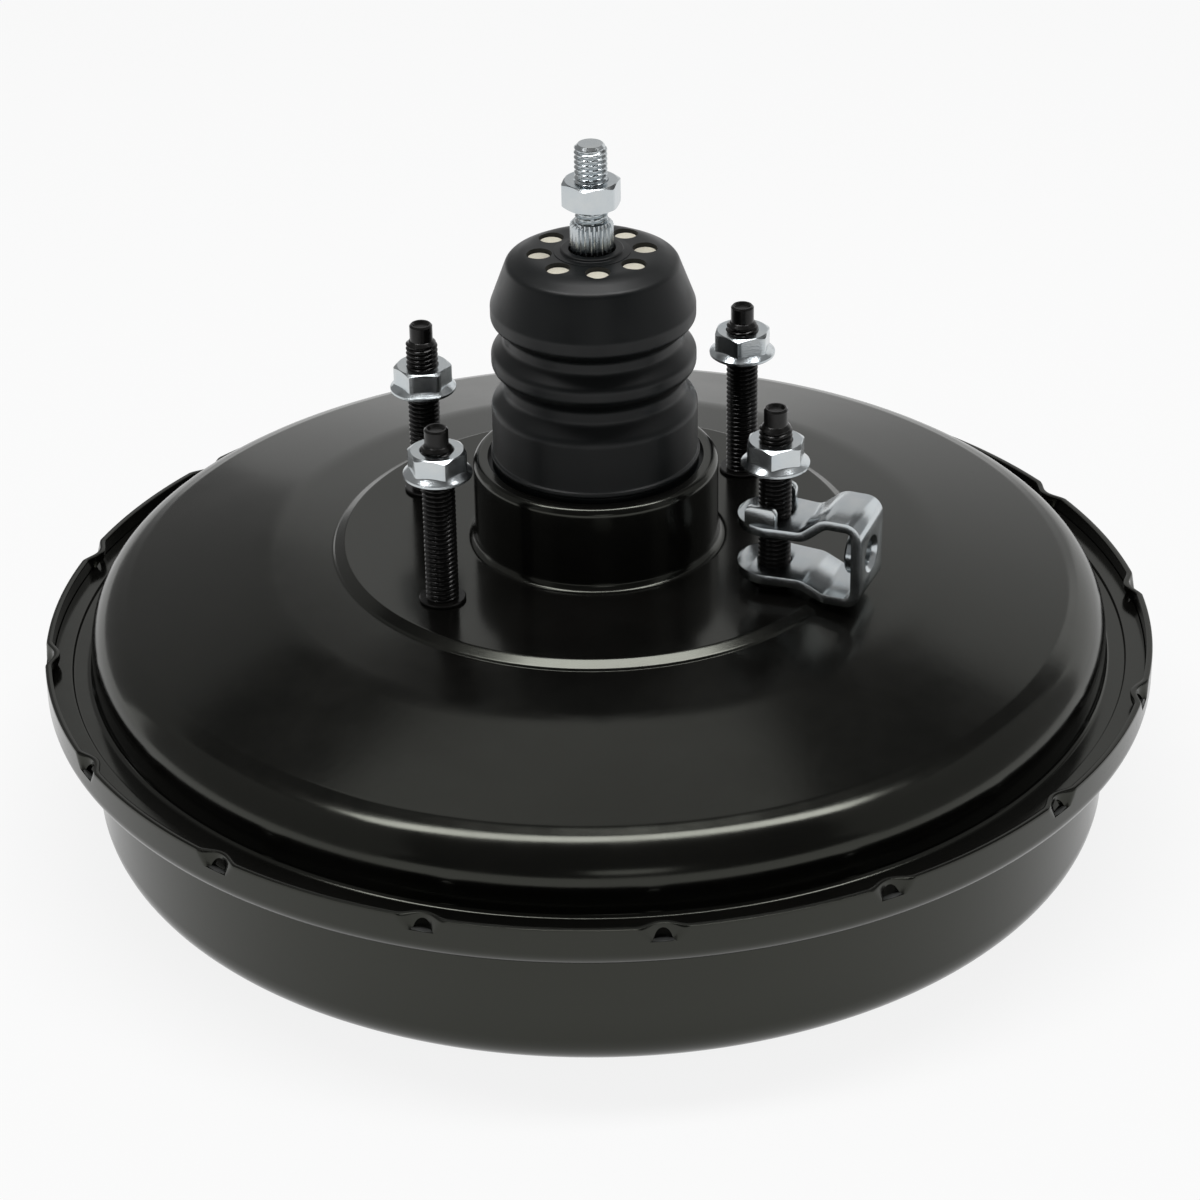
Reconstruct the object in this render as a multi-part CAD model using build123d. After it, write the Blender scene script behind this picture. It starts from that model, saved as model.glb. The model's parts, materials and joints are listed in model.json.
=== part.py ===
"""Vacuum brake booster with a single diaphragm.

It stands on its front shell, master-cylinder side down, with the pedal rod up.
Z is the booster's axis, and z = 0 is the plane of the front shell's outer face.
X runs along the wide spacing of the four firewall studs, Y along the narrow one.
All lengths are in millimetres.
"""

import os
from math import cos, pi, radians, tan

from build123d import *

# ---------------------------------------------------------------- shells
sheet = 1.6                  # pressed steel of both shells
wall_radius = 128.2          # outside of the front shell's side wall
front_corner = 8.5           # rounding between the front face and the side wall
recess_depth = 20.0          # pocket in the front face that the master cylinder enters
recess_floor_radius = 54.0
recess_draft = 4.0           # how much wider the pocket is at its mouth
recess_rounding = 5.0
pilot_radius = 19.0          # central hole in the pocket's floor
flare_height = 36.0          # underside of the front shell's outward flare
flare_width = 10.8           # from the side wall to the outside of the upturned rim
flare_inner_bend = 2.5
rim_bend = 4.0
rim_lip = 3.7                # height of the rim above the clamped flange
lance_count = 16             # places where the rim is pressed in over the rear shell
lance_depth = 2.6
lance_curve = 10.0           # radius of each pressed scallop, seen from above
lance_hole_radius = 2.1      # half-round piercing under each scallop

shell_step = 0.9             # the rear shell's side wall is this much inside the front one's
rear_flange_seat = 7.0       # from the underside of the flare to the upper face of the clamped flange
rear_flange_gap = 0.15       # between the flange's edge and the inside of the rim
flange_bend = 3.0
flange_groove_inset = 6.5    # round groove in the flange, from the outside of the rim
flange_groove_depth = 0.8
plateau_height = 71.5        # flat face that bears against the firewall
plateau_radius = 62.8
plateau_step = 1.5
plateau_step_width = 2.9
dome_break_radius = 94.0
dome_break_drop = 6.4        # this and the next two are depths below the flat face
shoulder_start_drop = 11.8
shoulder_drop = 15.8         # where the dome's outer slope would meet the side wall
shoulder_width = 10.3
shoulder_bend = 4.0
dome_bend = 40.0
neck_radius = 30.3
neck_height = 21.9           # above the flat face
neck_lip = 3.6               # width of the lip turned in at the neck's mouth
neck_edge_bend = 1.9
neck_base_bend = 2.0

# ---------------------------------------------------------------- fits
running_gap = 0.08           # sliding parts, on the radius
loose_gap = 0.3              # rubber and felt beside other parts
press_gap = 0.05             # parts held together in one assembly

# ---------------------------------------------------------------- firewall studs and nuts
stud_spacing_x = 81.0
stud_spacing_y = 58.0
thread_radius = 4.0          # M8
thread_depth = 0.4           # the threads are drawn at their pitch diameter
thread_chamfer = 1.0
stud_knurl_radius = 4.6      # knurled neck pressed into the shell and its plate
stud_collar_radius = 5.7
stud_collar_height = 0.9
stud_root_length = 1.7       # plain shank above the collar
stud_length = 40.9           # from the flat face to the end of the thread
stud_point_radius = 3.1
stud_point_length = 5.5
stud_head_radius = 8.0
stud_head_height = 2.5
stud_edge = 0.4
rear_plate_thickness = 2.5
rear_plate_width = 26.0
rear_plate_clearance = 3.7   # around the neck's base

hex_across_flats = 13.0
nut_height = 8.0
nut_flange_radius = 8.3
nut_flange_rim = 1.3
nut_flange_rise = 1.2
nut_bevel = 30.0             # degrees, of the bevels on the corners
nut_lift_front_left = 31.4   # how far up its stud each nut was left, above the flat face
nut_lift_front_right = 27.9
nut_lift_rear_right = 28.9
nut_lift_rear_left = 26.2
# side of the booster, lift and turn of the hexagon of each nut
nut_places = [
    (-1, -1, nut_lift_front_left, 40.0),
    (1, -1, nut_lift_front_right, 16.0),
    (1, 1, nut_lift_rear_right, 38.0),
    (-1, 1, nut_lift_rear_left, 5.0),
]

# ---------------------------------------------------------------- master-cylinder side
cylinder_stud_pitch = 80.0
cylinder_stud_length = 18.5  # below the pocket's floor
cylinder_stud_head = 2.0
cylinder_stud_head_radius = 6.5
front_plate_thickness = 2.0
front_plate_width = 31.0
front_seal_height = 3.3
front_seal_lip = 1.6
seal_retainer_thickness = 0.6
seal_retainer_inner_radius = 8.0
seal_retainer_outer_radius = 24.0

port_place_radius = 92.0     # vacuum port in the front face
port_angle = 60.0
port_bore_radius = 8.5
port_pocket_radius = 15.0
port_pocket_depth = 4.5
port_hole_radius = 10.5
grommet_flange_radius = 13.5
grommet_flange_height = 2.6
grommet_taper = 1.2

# ---------------------------------------------------------------- power piston
piston_depth = 12.0          # from the flat face down to the seat of the support plate
plate_sheet = 1.5
plate_wall_gap = 16.2        # from the plate's outside to the front shell's side wall
plate_slope_width = 8.0
plate_slope_drop = 8.5       # this and the next two are depths below the seat
plate_shoulder_drop = 11.5
plate_rim_drop = 21.5
spring_seat_drop = 3.5
spring_seat_inner_radius = 62.0
spring_seat_slope = 4.0      # width of the slope down to the spring's seat
spring_seat_width = 10.0
diaphragm_thickness = 2.0
diaphragm_fold_depth = 6.0
diaphragm_wall_gap = 3.4     # between the fold and the rear shell's wall
diaphragm_bead_width = 4.4
diaphragm_bead_lift = 1.4

tube_radius = 19.5           # sliding tube of the valve body
tube_bore_radius = 16.0
filter_bore_radius = 17.2
filter_bore_depth = 12.0
hub_radius = 24.0
hub_flange_radius = 34.0
hub_flange_height = 3.5
hub_height = 7.5             # above the support plate's seat
bead_groove_depth = 1.5
rod_socket_radius = 13.0
rod_socket_depth = 8.2
plunger_bore_radius = 6.1
valve_chamber_radius = 10.2
valve_chamber_depth = 10.2   # below the vacuum seat
vacuum_seat_radius = 13.0
vacuum_seat_rise = 28.7      # above the support plate's seat
seat_groove_depth = 4.2
retainer_clip_thickness = 0.8

reaction_disc_height = 3.3
output_head_height = 3.9
output_rod_radius = 6.0
output_tip_radius = 4.5
output_tip_length = 6.0
output_rod_bottom = 8.0

key_lift = 0.6               # above the valve body's hub
key_thickness = 2.0
key_reach = 23.0
key_width = 12.0
plunger_groove_radius = 4.0

rear_seal_drop = 1.75        # the seal's foot, below the flat face
rear_seal_step = 3.95
rear_seal_height = 10.25
bearing_height = 6.0
bearing_wall = 1.6

# ---------------------------------------------------------------- control valve and input rod
rod_travel = 1.8             # free travel of the input rod inside the valve body
plunger_head_radius = 8.5
ball_radius = 4.2
ball_depth = 6.2             # below the vacuum seat
ball_mouth_radius = 3.8
rod_radius = 4.0
rod_neck_radius = 2.9
rod_neck_length = 10.0
rod_neck_taper = 2.0
poppet_face_radius = 14.0
poppet_hole_radius = 6.5
poppet_height = 14.3
poppet_bead_height = 2.5
poppet_skin = 1.2
poppet_retainer_height = 4.0
poppet_retainer_wall = 1.0
poppet_spring_radius = 9.6
poppet_spring_wire = 1.0
rod_spring_radius = 9.6
rod_spring_wire = 1.5
rod_spring_height = 23.5
rod_washer_height = 1.5
rod_washer_radius = 12.0

filter_hole_radius = 9.0
felt_height = 6.0
felt_drop = 2.1              # this and the next are depths below the top of the boot
tube_drop = 6.0

spline_drop = 6.0            # foot of the splines, below the top of the boot
spline_length = 14.0
spline_radius = 5.25
spline_depth = 0.5
spline_teeth = 24
rod_end_length = 19.6        # threaded end above the splines
lock_nut_lift = 3.9          # above the splines
lock_nut_height = 6.5
lock_nut_turn = 13.0

# ---------------------------------------------------------------- return spring
return_spring_radius = 66.0
return_spring_wire = 4.0
return_spring_turns = 4.0

# ---------------------------------------------------------------- boot
boot_wall = 1.5
boot_neck_gap = 1.5          # between the cuff and the lip of the neck
boot_bead_reach = 0.4        # from the bead to the inside of the neck
boot_ring_height = 0.55
boot_crest_radius = 25.0
boot_groove_radius = 22.0
boot_crest_width = 3.3
boot_groove_width = 3.4
boot_flank_width = 3.2
boot_cuff_length = 15.6      # straight, above the neck
boot_crown_height = 12.8     # cone above the uppermost fold
boot_crest_bend = 1.6
boot_groove_bend = 2.0
boot_shoulder_bend = 9.0
boot_edge_bend = 1.0
boot_crown_radius = 19.0
boot_shoulder_radius = 20.8
boot_shoulder_drop = 3.8
boot_lip_radius = 7.6
boot_lip_height = 0.9
breather_count = 8
breather_ring_radius = 12.75
breather_radius = 3.05

# ---------------------------------------------------------------- clevis
clevis_sheet = 2.4
clevis_reach = 25.7          # from the pin's axis to the outside of the base
clevis_width = 16.5
clevis_height = 21.4
clevis_joggle_low = 2.6
clevis_joggle_high = 3.5
clevis_joggle_start = 9.3
clevis_joggle_end = 14.8
clevis_corner = 4.0
clevis_joggle_bends = (3.0, 5.0)
clevis_ear_radius = 9.0
clevis_pin_radius = 4.3
clevis_boss_radius = 5.6
clevis_boss_length = 2.7
clevis_tap_radius = 3.4
clevis_countersink = 1.2
clevis_tab_length = 8.0
clevis_tab_height = 3.6
clevis_tab_offset = -0.8
clevis_tab_rounding = 1.2
clevis_turn = -28.4          # degrees about the stud that it hangs on
clevis_rest_gap = 0.2        # under the strap, above the firewall face

# ---------------------------------------------------------------- places worked out from these
stud_x = stud_spacing_x / 2
stud_y = stud_spacing_y / 2
hex_radius = hex_across_flats / 2 / cos(radians(30))
thread_pitch_radius = thread_radius - thread_depth
nut_bore_radius = thread_pitch_radius + press_gap

rim_radius = wall_radius + flare_width
rear_wall_radius = wall_radius - shell_step
rear_flange_top = flare_height + rear_flange_seat
rear_flange_bottom = rear_flange_top - sheet
rim_top = rear_flange_top + rim_lip
flare_inner = flare_height + sheet
recess_inner = recess_depth + sheet
front_plate_top = recess_inner + front_plate_thickness
inner_plateau = plateau_height - sheet
rear_plate_bottom = inner_plateau - rear_plate_thickness
neck_inner_radius = neck_radius - sheet
neck_top = plateau_height + neck_height
bearing_bottom = plateau_height - rear_seal_drop + rear_seal_height
bearing_top = bearing_bottom + bearing_height

plate_seat = plateau_height - piston_depth
plate_top = plate_seat + plate_sheet
plate_outer_radius = wall_radius - plate_wall_gap
plate_flat_radius = spring_seat_inner_radius - spring_seat_slope
spring_seat_height = plate_seat - spring_seat_drop
diaphragm_top = plate_top + diaphragm_thickness
diaphragm_bead_outer = rim_radius - rim_bend - press_gap
diaphragm_bead_inner = diaphragm_bead_outer - diaphragm_bead_width
hub_flange_bottom = plate_seat - hub_flange_height
hub_top = plate_seat + hub_height
bead_groove_radius = hub_radius - bead_groove_depth
rod_socket_top = hub_flange_bottom + rod_socket_depth
key_height = hub_top + key_lift
seal_bore_radius = tube_radius + running_gap
vacuum_seat_height = plate_seat + vacuum_seat_rise
valve_chamber_floor = vacuum_seat_height - valve_chamber_depth
ball_height = vacuum_seat_height - ball_depth
poppet_top = vacuum_seat_height + poppet_height
rod_spring_top = poppet_top + rod_spring_height

boot_cuff_radius = neck_radius - neck_lip - boot_neck_gap
boot_folds_bottom = neck_top + boot_cuff_length
boot_fold_height = boot_crest_width + boot_groove_width + 2 * boot_flank_width
boot_top = boot_folds_bottom + 2 * boot_fold_height + boot_crown_height
tube_top = boot_top - tube_drop
filter_shelf = tube_top - filter_bore_depth
filter_top = boot_top - felt_drop
spline_bottom = boot_top - spline_drop
spline_top = spline_bottom + spline_length
spline_root_radius = spline_radius - spline_depth
lock_nut_bottom = spline_top + lock_nut_lift
rod_tip = spline_top + rod_end_length


def turned(outline):
    """A solid of revolution: the outline's x is the radius and its y is the height."""
    return revolve(Plane.XZ * make_face(outline), Axis.Z)


def turned_polygon(*corners):
    """A solid of revolution with plain corners."""
    return turned(Polyline(*corners, close=True))


def ring(inner, outer, bottom, top):
    """A plain ring or, with no inner radius, a disc."""
    body = Pos(0, 0, bottom) * Cylinder(outer, top - bottom, align=(Align.CENTER, Align.CENTER, Align.MIN))
    if inner:
        body -= Pos(0, 0, bottom) * Cylinder(inner, top - bottom, align=(Align.CENTER, Align.CENTER, Align.MIN))
    return body


def pressed_sheet(corners, bends, thickness, side):
    """Sheet of even thickness, turned about Z: the corners are those of one skin."""
    skin = FilletPolyline(*corners, radius=bends)
    return turned(offset(skin, amount=thickness, side=side).edges())


def coil(mean_radius, wire, bottom, top, turns):
    """A round-wire compression spring that fills the given height."""
    rise = top - bottom - wire
    line = Pos(0, 0, bottom + wire / 2) * Helix(pitch=rise / turns, height=rise, radius=mean_radius)
    section = Plane(origin=line @ 0, z_dir=line % 0) * Circle(wire / 2)
    return sweep(section, path=line)


def stud_places():
    return [(x * stud_x, y * stud_y) for x in (-1, 1) for y in (-1, 1)]


# ---------------------------------------------------------------- front shell
def front_skin():
    corners = [
        (pilot_radius, recess_depth),
        (recess_floor_radius, recess_depth),
        (recess_floor_radius + recess_draft, 0),
        (wall_radius, 0),
        (wall_radius, flare_height),
        (rim_radius, flare_height),
        (rim_radius, rim_top),
    ]
    bends = [recess_rounding, recess_rounding, front_corner, flare_inner_bend, rim_bend]
    return corners, bends


def lance_cutters():
    """One scallop at angle 0: what it removes outside the rim, what it adds inside, and its piercing."""
    height = rim_top - rear_flange_top - press_gap
    centre = Pos(rim_radius + lance_curve - lance_depth, 0, rear_flange_top + press_gap)
    low = (Align.CENTER, Align.CENTER, Align.MIN)
    outside = centre * Cylinder(lance_curve, height + 1, align=low)
    inside = centre * Cylinder(lance_curve + sheet, height, align=low)
    inside &= ring(rim_radius - lance_depth - 2 * sheet, rim_radius - sheet / 2, rear_flange_top, rim_top)
    reach = 3 * rim_bend
    piercing = Pos(rim_radius, 0, rear_flange_top) * Rot(0, 90, 0) * Cylinder(lance_hole_radius, reach)
    piercing &= Pos(rim_radius, 0, rear_flange_top + press_gap) * Box(reach, reach, reach, align=low)
    return outside, inside, piercing


def front_shell():
    corners, bends = front_skin()
    body = pressed_sheet(corners, bends, sheet, Side.LEFT)
    outside, inside, piercing = lance_cutters()
    turns = [Rot(0, 0, i * 360 / lance_count) for i in range(lance_count)]
    body += [turn * inside for turn in turns]
    body -= [turn * outside for turn in turns]
    body -= [turn * piercing for turn in turns]
    low = (Align.CENTER, Align.CENTER, Align.MIN)
    port = Rot(0, 0, port_angle) * Pos(port_place_radius, 0, 0)
    body += port * Cylinder(port_pocket_radius + sheet, port_pocket_depth + sheet, align=low)
    body -= port * Cylinder(port_pocket_radius, port_pocket_depth, align=low)
    body -= port * Cylinder(port_hole_radius, port_pocket_depth + 2 * sheet, align=low)
    for x in (-1, 1):
        body -= Pos(x * cylinder_stud_pitch / 2, 0, recess_depth) * Cylinder(
            stud_knurl_radius + press_gap, 3 * sheet
        )
    return body


# ---------------------------------------------------------------- rear shell
def rear_skin():
    flange_radius = rim_radius - sheet - rear_flange_gap
    corners = [
        (neck_radius - neck_lip, neck_top),
        (neck_radius, neck_top),
        (neck_radius, plateau_height),
        (plateau_radius, plateau_height),
        (plateau_radius + plateau_step_width, plateau_height - plateau_step),
        (dome_break_radius, plateau_height - dome_break_drop),
        (rear_wall_radius - shoulder_width, plateau_height - shoulder_start_drop),
        (rear_wall_radius, plateau_height - shoulder_drop),
        (rear_wall_radius, rear_flange_top),
        (flange_radius, rear_flange_top),
    ]
    bends = [
        neck_edge_bend,
        neck_base_bend,
        sheet,
        sheet,
        dome_bend,
        dome_bend / 2,
        shoulder_bend,
        flange_bend,
    ]
    return corners, bends


def rear_shell():
    corners, bends = rear_skin()
    body = pressed_sheet(corners, bends, sheet, Side.RIGHT)
    body -= Pos(0, 0, rear_flange_top) * Torus(rim_radius - flange_groove_inset, flange_groove_depth)
    for x, y in stud_places():
        body -= Pos(x, y, plateau_height) * Cylinder(stud_knurl_radius + press_gap, 4 * sheet)
    return body


def rear_reinforcement():
    inner = neck_radius + rear_plate_clearance
    body = ring(inner, inner + rear_plate_width, rear_plate_bottom, inner_plateau)
    for x, y in stud_places():
        body -= Pos(x, y, inner_plateau) * Cylinder(
            stud_knurl_radius + press_gap, 3 * rear_plate_thickness
        )
    return body


def front_reinforcement():
    body = ring(pilot_radius, pilot_radius + front_plate_width, recess_inner, front_plate_top)
    for x in (-1, 1):
        body -= Pos(x * cylinder_stud_pitch / 2, 0, recess_inner) * Cylinder(
            stud_knurl_radius + press_gap, 3 * front_plate_thickness
        )
    return body


# ---------------------------------------------------------------- studs and nuts
def firewall_stud():
    """One stud about the origin's Z axis, at its heights in the booster."""
    collar_top = plateau_height + stud_collar_height
    root_top = collar_top + stud_root_length
    thread_end = plateau_height + stud_length
    point_top = thread_end + stud_point_length
    return turned_polygon(
        (0, rear_plate_bottom - stud_head_height),
        (stud_head_radius, rear_plate_bottom - stud_head_height),
        (stud_head_radius, rear_plate_bottom),
        (stud_knurl_radius, rear_plate_bottom),
        (stud_knurl_radius, plateau_height),
        (stud_collar_radius, plateau_height),
        (stud_collar_radius, collar_top),
        (thread_radius, collar_top),
        (thread_radius, root_top),
        (thread_pitch_radius, root_top),
        (thread_pitch_radius, thread_end - stud_edge),
        (stud_point_radius, thread_end),
        (stud_point_radius, point_top - stud_edge),
        (stud_point_radius - stud_edge, point_top),
        (0, point_top),
    )


def firewall_studs():
    return [Pos(x, y, 0) * firewall_stud() for x, y in stud_places()]


def hexagon(height):
    """A hexagonal bar with both ends' corners bevelled, standing on z = 0."""
    bar = extrude(RegularPolygon(hex_radius, 6), height)
    bevel = (hex_radius - hex_across_flats / 2) * tan(radians(nut_bevel))
    reach = hex_radius + 0.01
    turned_blank = turned_polygon(
        (0, 0),
        (hex_across_flats / 2, 0),
        (reach, bevel),
        (reach, height - bevel),
        (hex_across_flats / 2, height),
        (0, height),
    )
    return bar & turned_blank


def flange_nut():
    skirt = turned_polygon(
        (0, 0),
        (nut_flange_radius, 0),
        (nut_flange_radius, nut_flange_rim),
        (hex_across_flats / 2, nut_flange_rim + nut_flange_rise),
        (0, nut_flange_rim + nut_flange_rise),
    )
    nut = skirt + hexagon(nut_height)
    bore = Pos(0, 0, nut_height / 2) * Cylinder(nut_bore_radius, 2 * nut_height)
    return nut - bore


def firewall_nuts():
    nut = flange_nut()
    return [
        Pos(x * stud_x, y * stud_y, plateau_height + lift) * Rot(0, 0, turn) * nut
        for x, y, lift, turn in nut_places
    ]


def lock_nut():
    bore = Cylinder(nut_bore_radius, 3 * lock_nut_height)
    return Pos(0, 0, lock_nut_bottom) * Rot(0, 0, lock_nut_turn) * (hexagon(lock_nut_height) - bore)


def master_cylinder_studs():
    tip = recess_depth - cylinder_stud_length
    stud = turned_polygon(
        (0, tip),
        (thread_radius - thread_chamfer, tip),
        (thread_radius, tip + thread_chamfer),
        (thread_radius, recess_depth),
        (stud_knurl_radius, recess_depth),
        (stud_knurl_radius, front_plate_top),
        (cylinder_stud_head_radius, front_plate_top),
        (cylinder_stud_head_radius, front_plate_top + cylinder_stud_head),
        (0, front_plate_top + cylinder_stud_head),
    )
    return [Pos(x * cylinder_stud_pitch / 2, 0, 0) * stud for x in (-1, 1)]


# ---------------------------------------------------------------- seals of the housing
def front_seal():
    bore = output_rod_radius + running_gap
    bottom = front_plate_top + seal_retainer_thickness / 2 - front_seal_height
    top = front_plate_top
    lip = front_seal_lip
    return turned_polygon(
        (bore, bottom),
        (bore + lip, bottom),
        (bore + 2 * lip, bottom + lip),
        (pilot_radius - press_gap - lip, bottom + lip),
        (pilot_radius - press_gap, bottom + lip / 2),
        (pilot_radius - press_gap, top),
        (bore + lip, top),
        (bore, top - lip / 2),
    )


def front_seal_retainer():
    return ring(
        seal_retainer_inner_radius,
        seal_retainer_outer_radius,
        front_plate_top,
        front_plate_top + seal_retainer_thickness,
    )


def vacuum_grommet():
    floor = port_pocket_depth
    body = turned_polygon(
        (port_bore_radius, floor - grommet_flange_height),
        (grommet_flange_radius, floor - grommet_flange_height),
        (grommet_flange_radius, floor),
        (port_hole_radius - press_gap, floor),
        (port_hole_radius - press_gap, floor + sheet + press_gap),
        (grommet_flange_radius - grommet_taper, floor + sheet + press_gap),
        (port_hole_radius, floor + sheet + grommet_flange_height),
        (port_bore_radius, floor + sheet + grommet_flange_height),
    )
    return Rot(0, 0, port_angle) * Pos(port_place_radius, 0, 0) * body


def rear_seal():
    """Rubber ring with a groove that opens upwards between its sealing lip and its body."""
    outer = neck_inner_radius - press_gap
    foot = plateau_height - rear_seal_drop
    step = foot + rear_seal_step
    width = outer - seal_bore_radius
    return turned_polygon(
        (seal_bore_radius, foot),
        (seal_bore_radius + 0.44 * width, foot),
        (seal_bore_radius + 0.55 * width, step),
        (outer, step + 0.1 * width),
        (outer, bearing_bottom),
        (seal_bore_radius + 0.44 * width, bearing_bottom),
        (seal_bore_radius + 0.33 * width, step + 0.3 * width),
        (seal_bore_radius + 0.17 * width, step + 0.3 * width),
        (seal_bore_radius + 0.11 * width, bearing_bottom),
        (seal_bore_radius, bearing_bottom),
    )


def rear_bearing():
    """Channel-shaped ring that guides the tube and holds the seal."""
    outer = neck_inner_radius - press_gap
    floor = bearing_bottom + bearing_wall
    return turned_polygon(
        (seal_bore_radius, bearing_bottom),
        (outer, bearing_bottom),
        (outer, bearing_top),
        (outer - bearing_wall, bearing_top),
        (outer - bearing_wall, floor),
        (seal_bore_radius + bearing_wall, floor),
        (seal_bore_radius + bearing_wall, bearing_top),
        (seal_bore_radius, bearing_top),
    )


# ---------------------------------------------------------------- power piston
def plate_skin(lift):
    """The support plate's upper skin, or a skin about that much above it."""
    spring_seat_outer = spring_seat_inner_radius + spring_seat_width
    return [
        (hub_radius + loose_gap, plate_top + lift),
        (plate_flat_radius + lift / 2, plate_top + lift),
        (spring_seat_inner_radius + lift / 2, spring_seat_height + plate_sheet + lift),
        (spring_seat_outer, spring_seat_height + plate_sheet + lift),
        (plate_outer_radius - plate_slope_width, plate_seat - plate_slope_drop + lift),
        (plate_outer_radius + lift, plate_seat - plate_shoulder_drop + lift),
    ]


plate_bends = [3, 3, 6, 12, 5]


def diaphragm_plate():
    corners = plate_skin(0) + [(plate_outer_radius, plate_seat - plate_rim_drop)]
    return pressed_sheet(corners, plate_bends, plate_sheet, Side.RIGHT)


def diaphragm():
    """Rubber skin on the plate, one rolling fold and the bead that the two shells clamp."""
    inner = bead_groove_radius + loose_gap
    outer = plate_outer_radius + press_gap
    fold_radius = rear_wall_radius - sheet - diaphragm_wall_gap
    fold_bend = 0.44 * (fold_radius - outer)
    web = flare_inner + diaphragm_bead_lift
    corners = plate_skin(press_gap) + [
        (outer, web - diaphragm_fold_depth),
        (fold_radius, web - diaphragm_fold_depth),
        (fold_radius, web),
        (diaphragm_bead_inner + sheet, web),
    ]
    corners[0] = (inner, plate_top + press_gap)
    bends = plate_bends + [fold_bend, fold_bend, diaphragm_thickness / 2]
    body = pressed_sheet(corners, bends, diaphragm_thickness, Side.LEFT)
    bead_bottom = flare_inner + press_gap
    bead_top = rear_flange_bottom - press_gap
    body += ring(diaphragm_bead_inner, diaphragm_bead_outer, bead_bottom, bead_top)
    body += ring(
        inner,
        hub_radius + 2 * diaphragm_bead_lift,
        plate_top + press_gap,
        diaphragm_top + diaphragm_thickness,
    )
    return body


def diaphragm_retainer():
    """Spring ring pressed over the valve body's groove to hold the diaphragm's inner bead."""
    bottom = diaphragm_top + diaphragm_thickness + press_gap
    inner = bead_groove_radius + press_gap
    outer = inner + 4 * bead_groove_depth
    return turned_polygon(
        (inner, bottom),
        (outer, bottom),
        (outer, bottom + retainer_clip_thickness),
        (inner + bead_groove_depth, bottom + 1.6 * retainer_clip_thickness),
        (inner, bottom + 1.6 * retainer_clip_thickness),
    )


def valve_body():
    """Moulded hub and sliding tube, with the chambers of the control valve inside."""
    edge = bead_groove_depth / 3
    groove_top = hub_top - edge
    seat_groove_floor = vacuum_seat_height - seat_groove_depth
    seat_slope = filter_bore_radius - tube_bore_radius
    body = turned_polygon(
        (rod_socket_radius, hub_flange_bottom),
        (hub_flange_radius, hub_flange_bottom),
        (hub_flange_radius, plate_seat),
        (hub_radius, plate_seat),
        (hub_radius, plate_top),
        (bead_groove_radius, plate_top),
        (bead_groove_radius, groove_top),
        (bead_groove_radius - edge, hub_top),
        (tube_radius, hub_top),
        (tube_radius, tube_top - edge),
        (tube_radius - edge, tube_top),
        (filter_bore_radius, tube_top),
        (filter_bore_radius, filter_shelf),
        (tube_bore_radius, filter_shelf - seat_slope),
        (tube_bore_radius, seat_groove_floor),
        (vacuum_seat_radius + 2 * edge, seat_groove_floor),
        (vacuum_seat_radius + edge, vacuum_seat_height),
        (vacuum_seat_radius - edge, vacuum_seat_height),
        (valve_chamber_radius, vacuum_seat_height - bead_groove_depth),
        (valve_chamber_radius, valve_chamber_floor),
        (plunger_bore_radius, valve_chamber_floor),
        (plunger_bore_radius, rod_socket_top),
        (rod_socket_radius, rod_socket_top),
    )
    body -= Pos(0, 0, key_height + key_thickness / 2) * Box(
        3 * key_reach, key_width + 2 * press_gap, key_thickness + 2 * press_gap
    )
    return body


def reaction_disc():
    top = rod_socket_top - press_gap
    return ring(0, rod_socket_radius - loose_gap, top - reaction_disc_height, top)


def output_rod():
    head_top = rod_socket_top - 2 * press_gap - reaction_disc_height
    head_bottom = head_top - output_head_height
    tip_top = output_rod_bottom + output_tip_length
    head_radius = rod_socket_radius - running_gap
    body = turned_polygon(
        (0, output_rod_bottom + output_tip_radius),
        (output_tip_radius, output_rod_bottom + output_tip_radius),
        (output_tip_radius, tip_top),
        (output_rod_radius, tip_top),
        (output_rod_radius, head_bottom),
        (head_radius, head_bottom),
        (head_radius, head_top),
        (0, head_top),
    )
    body += Pos(0, 0, output_rod_bottom + output_tip_radius) * Sphere(output_tip_radius)
    return body


def stop_key():
    """A flat key with a slot that straddles the plunger's waist."""
    reach = key_reach
    blank = Pos(0, 0, key_height) * Box(
        2 * reach, key_width, key_thickness, align=(Align.CENTER, Align.CENTER, Align.MIN)
    )
    waist = plunger_groove_radius + running_gap
    slot = Cylinder(waist, 4 * key_height) + Pos(reach, 0, 0) * Box(2 * reach, 2 * waist, 4 * key_height)
    return blank - slot


def return_spring():
    return coil(
        return_spring_radius,
        return_spring_wire,
        sheet + press_gap,
        spring_seat_height - press_gap,
        return_spring_turns,
    )


# ---------------------------------------------------------------- control valve
def control_plunger():
    """Air valve: a waisted stem, a seat that meets the poppet, and the rod's ball socket."""
    foot = rod_socket_top + rod_travel + press_gap
    stem = plunger_bore_radius - running_gap
    head_top = vacuum_seat_height - press_gap
    groove_bottom = key_height - press_gap
    groove_top = key_height + key_thickness + rod_travel + press_gap
    rim = plunger_head_radius - stem
    shoulder = valve_chamber_floor + rod_travel + 0.4 * rim
    mouth = head_top - 0.4 * rim
    body = turned_polygon(
        (0, foot),
        (stem, foot),
        (stem, groove_bottom),
        (plunger_groove_radius, groove_bottom),
        (plunger_groove_radius, groove_top),
        (stem, groove_top),
        (stem, shoulder),
        (plunger_head_radius, shoulder + 0.8 * rim),
        (plunger_head_radius, head_top),
        (plunger_head_radius - 0.4 * rim, head_top),
        (plunger_head_radius - 0.6 * rim, mouth),
        (ball_mouth_radius, mouth),
        (ball_mouth_radius, ball_height),
        (0, ball_height),
    )
    body -= Pos(0, 0, ball_height) * Sphere(ball_radius + running_gap)
    return body


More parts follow.
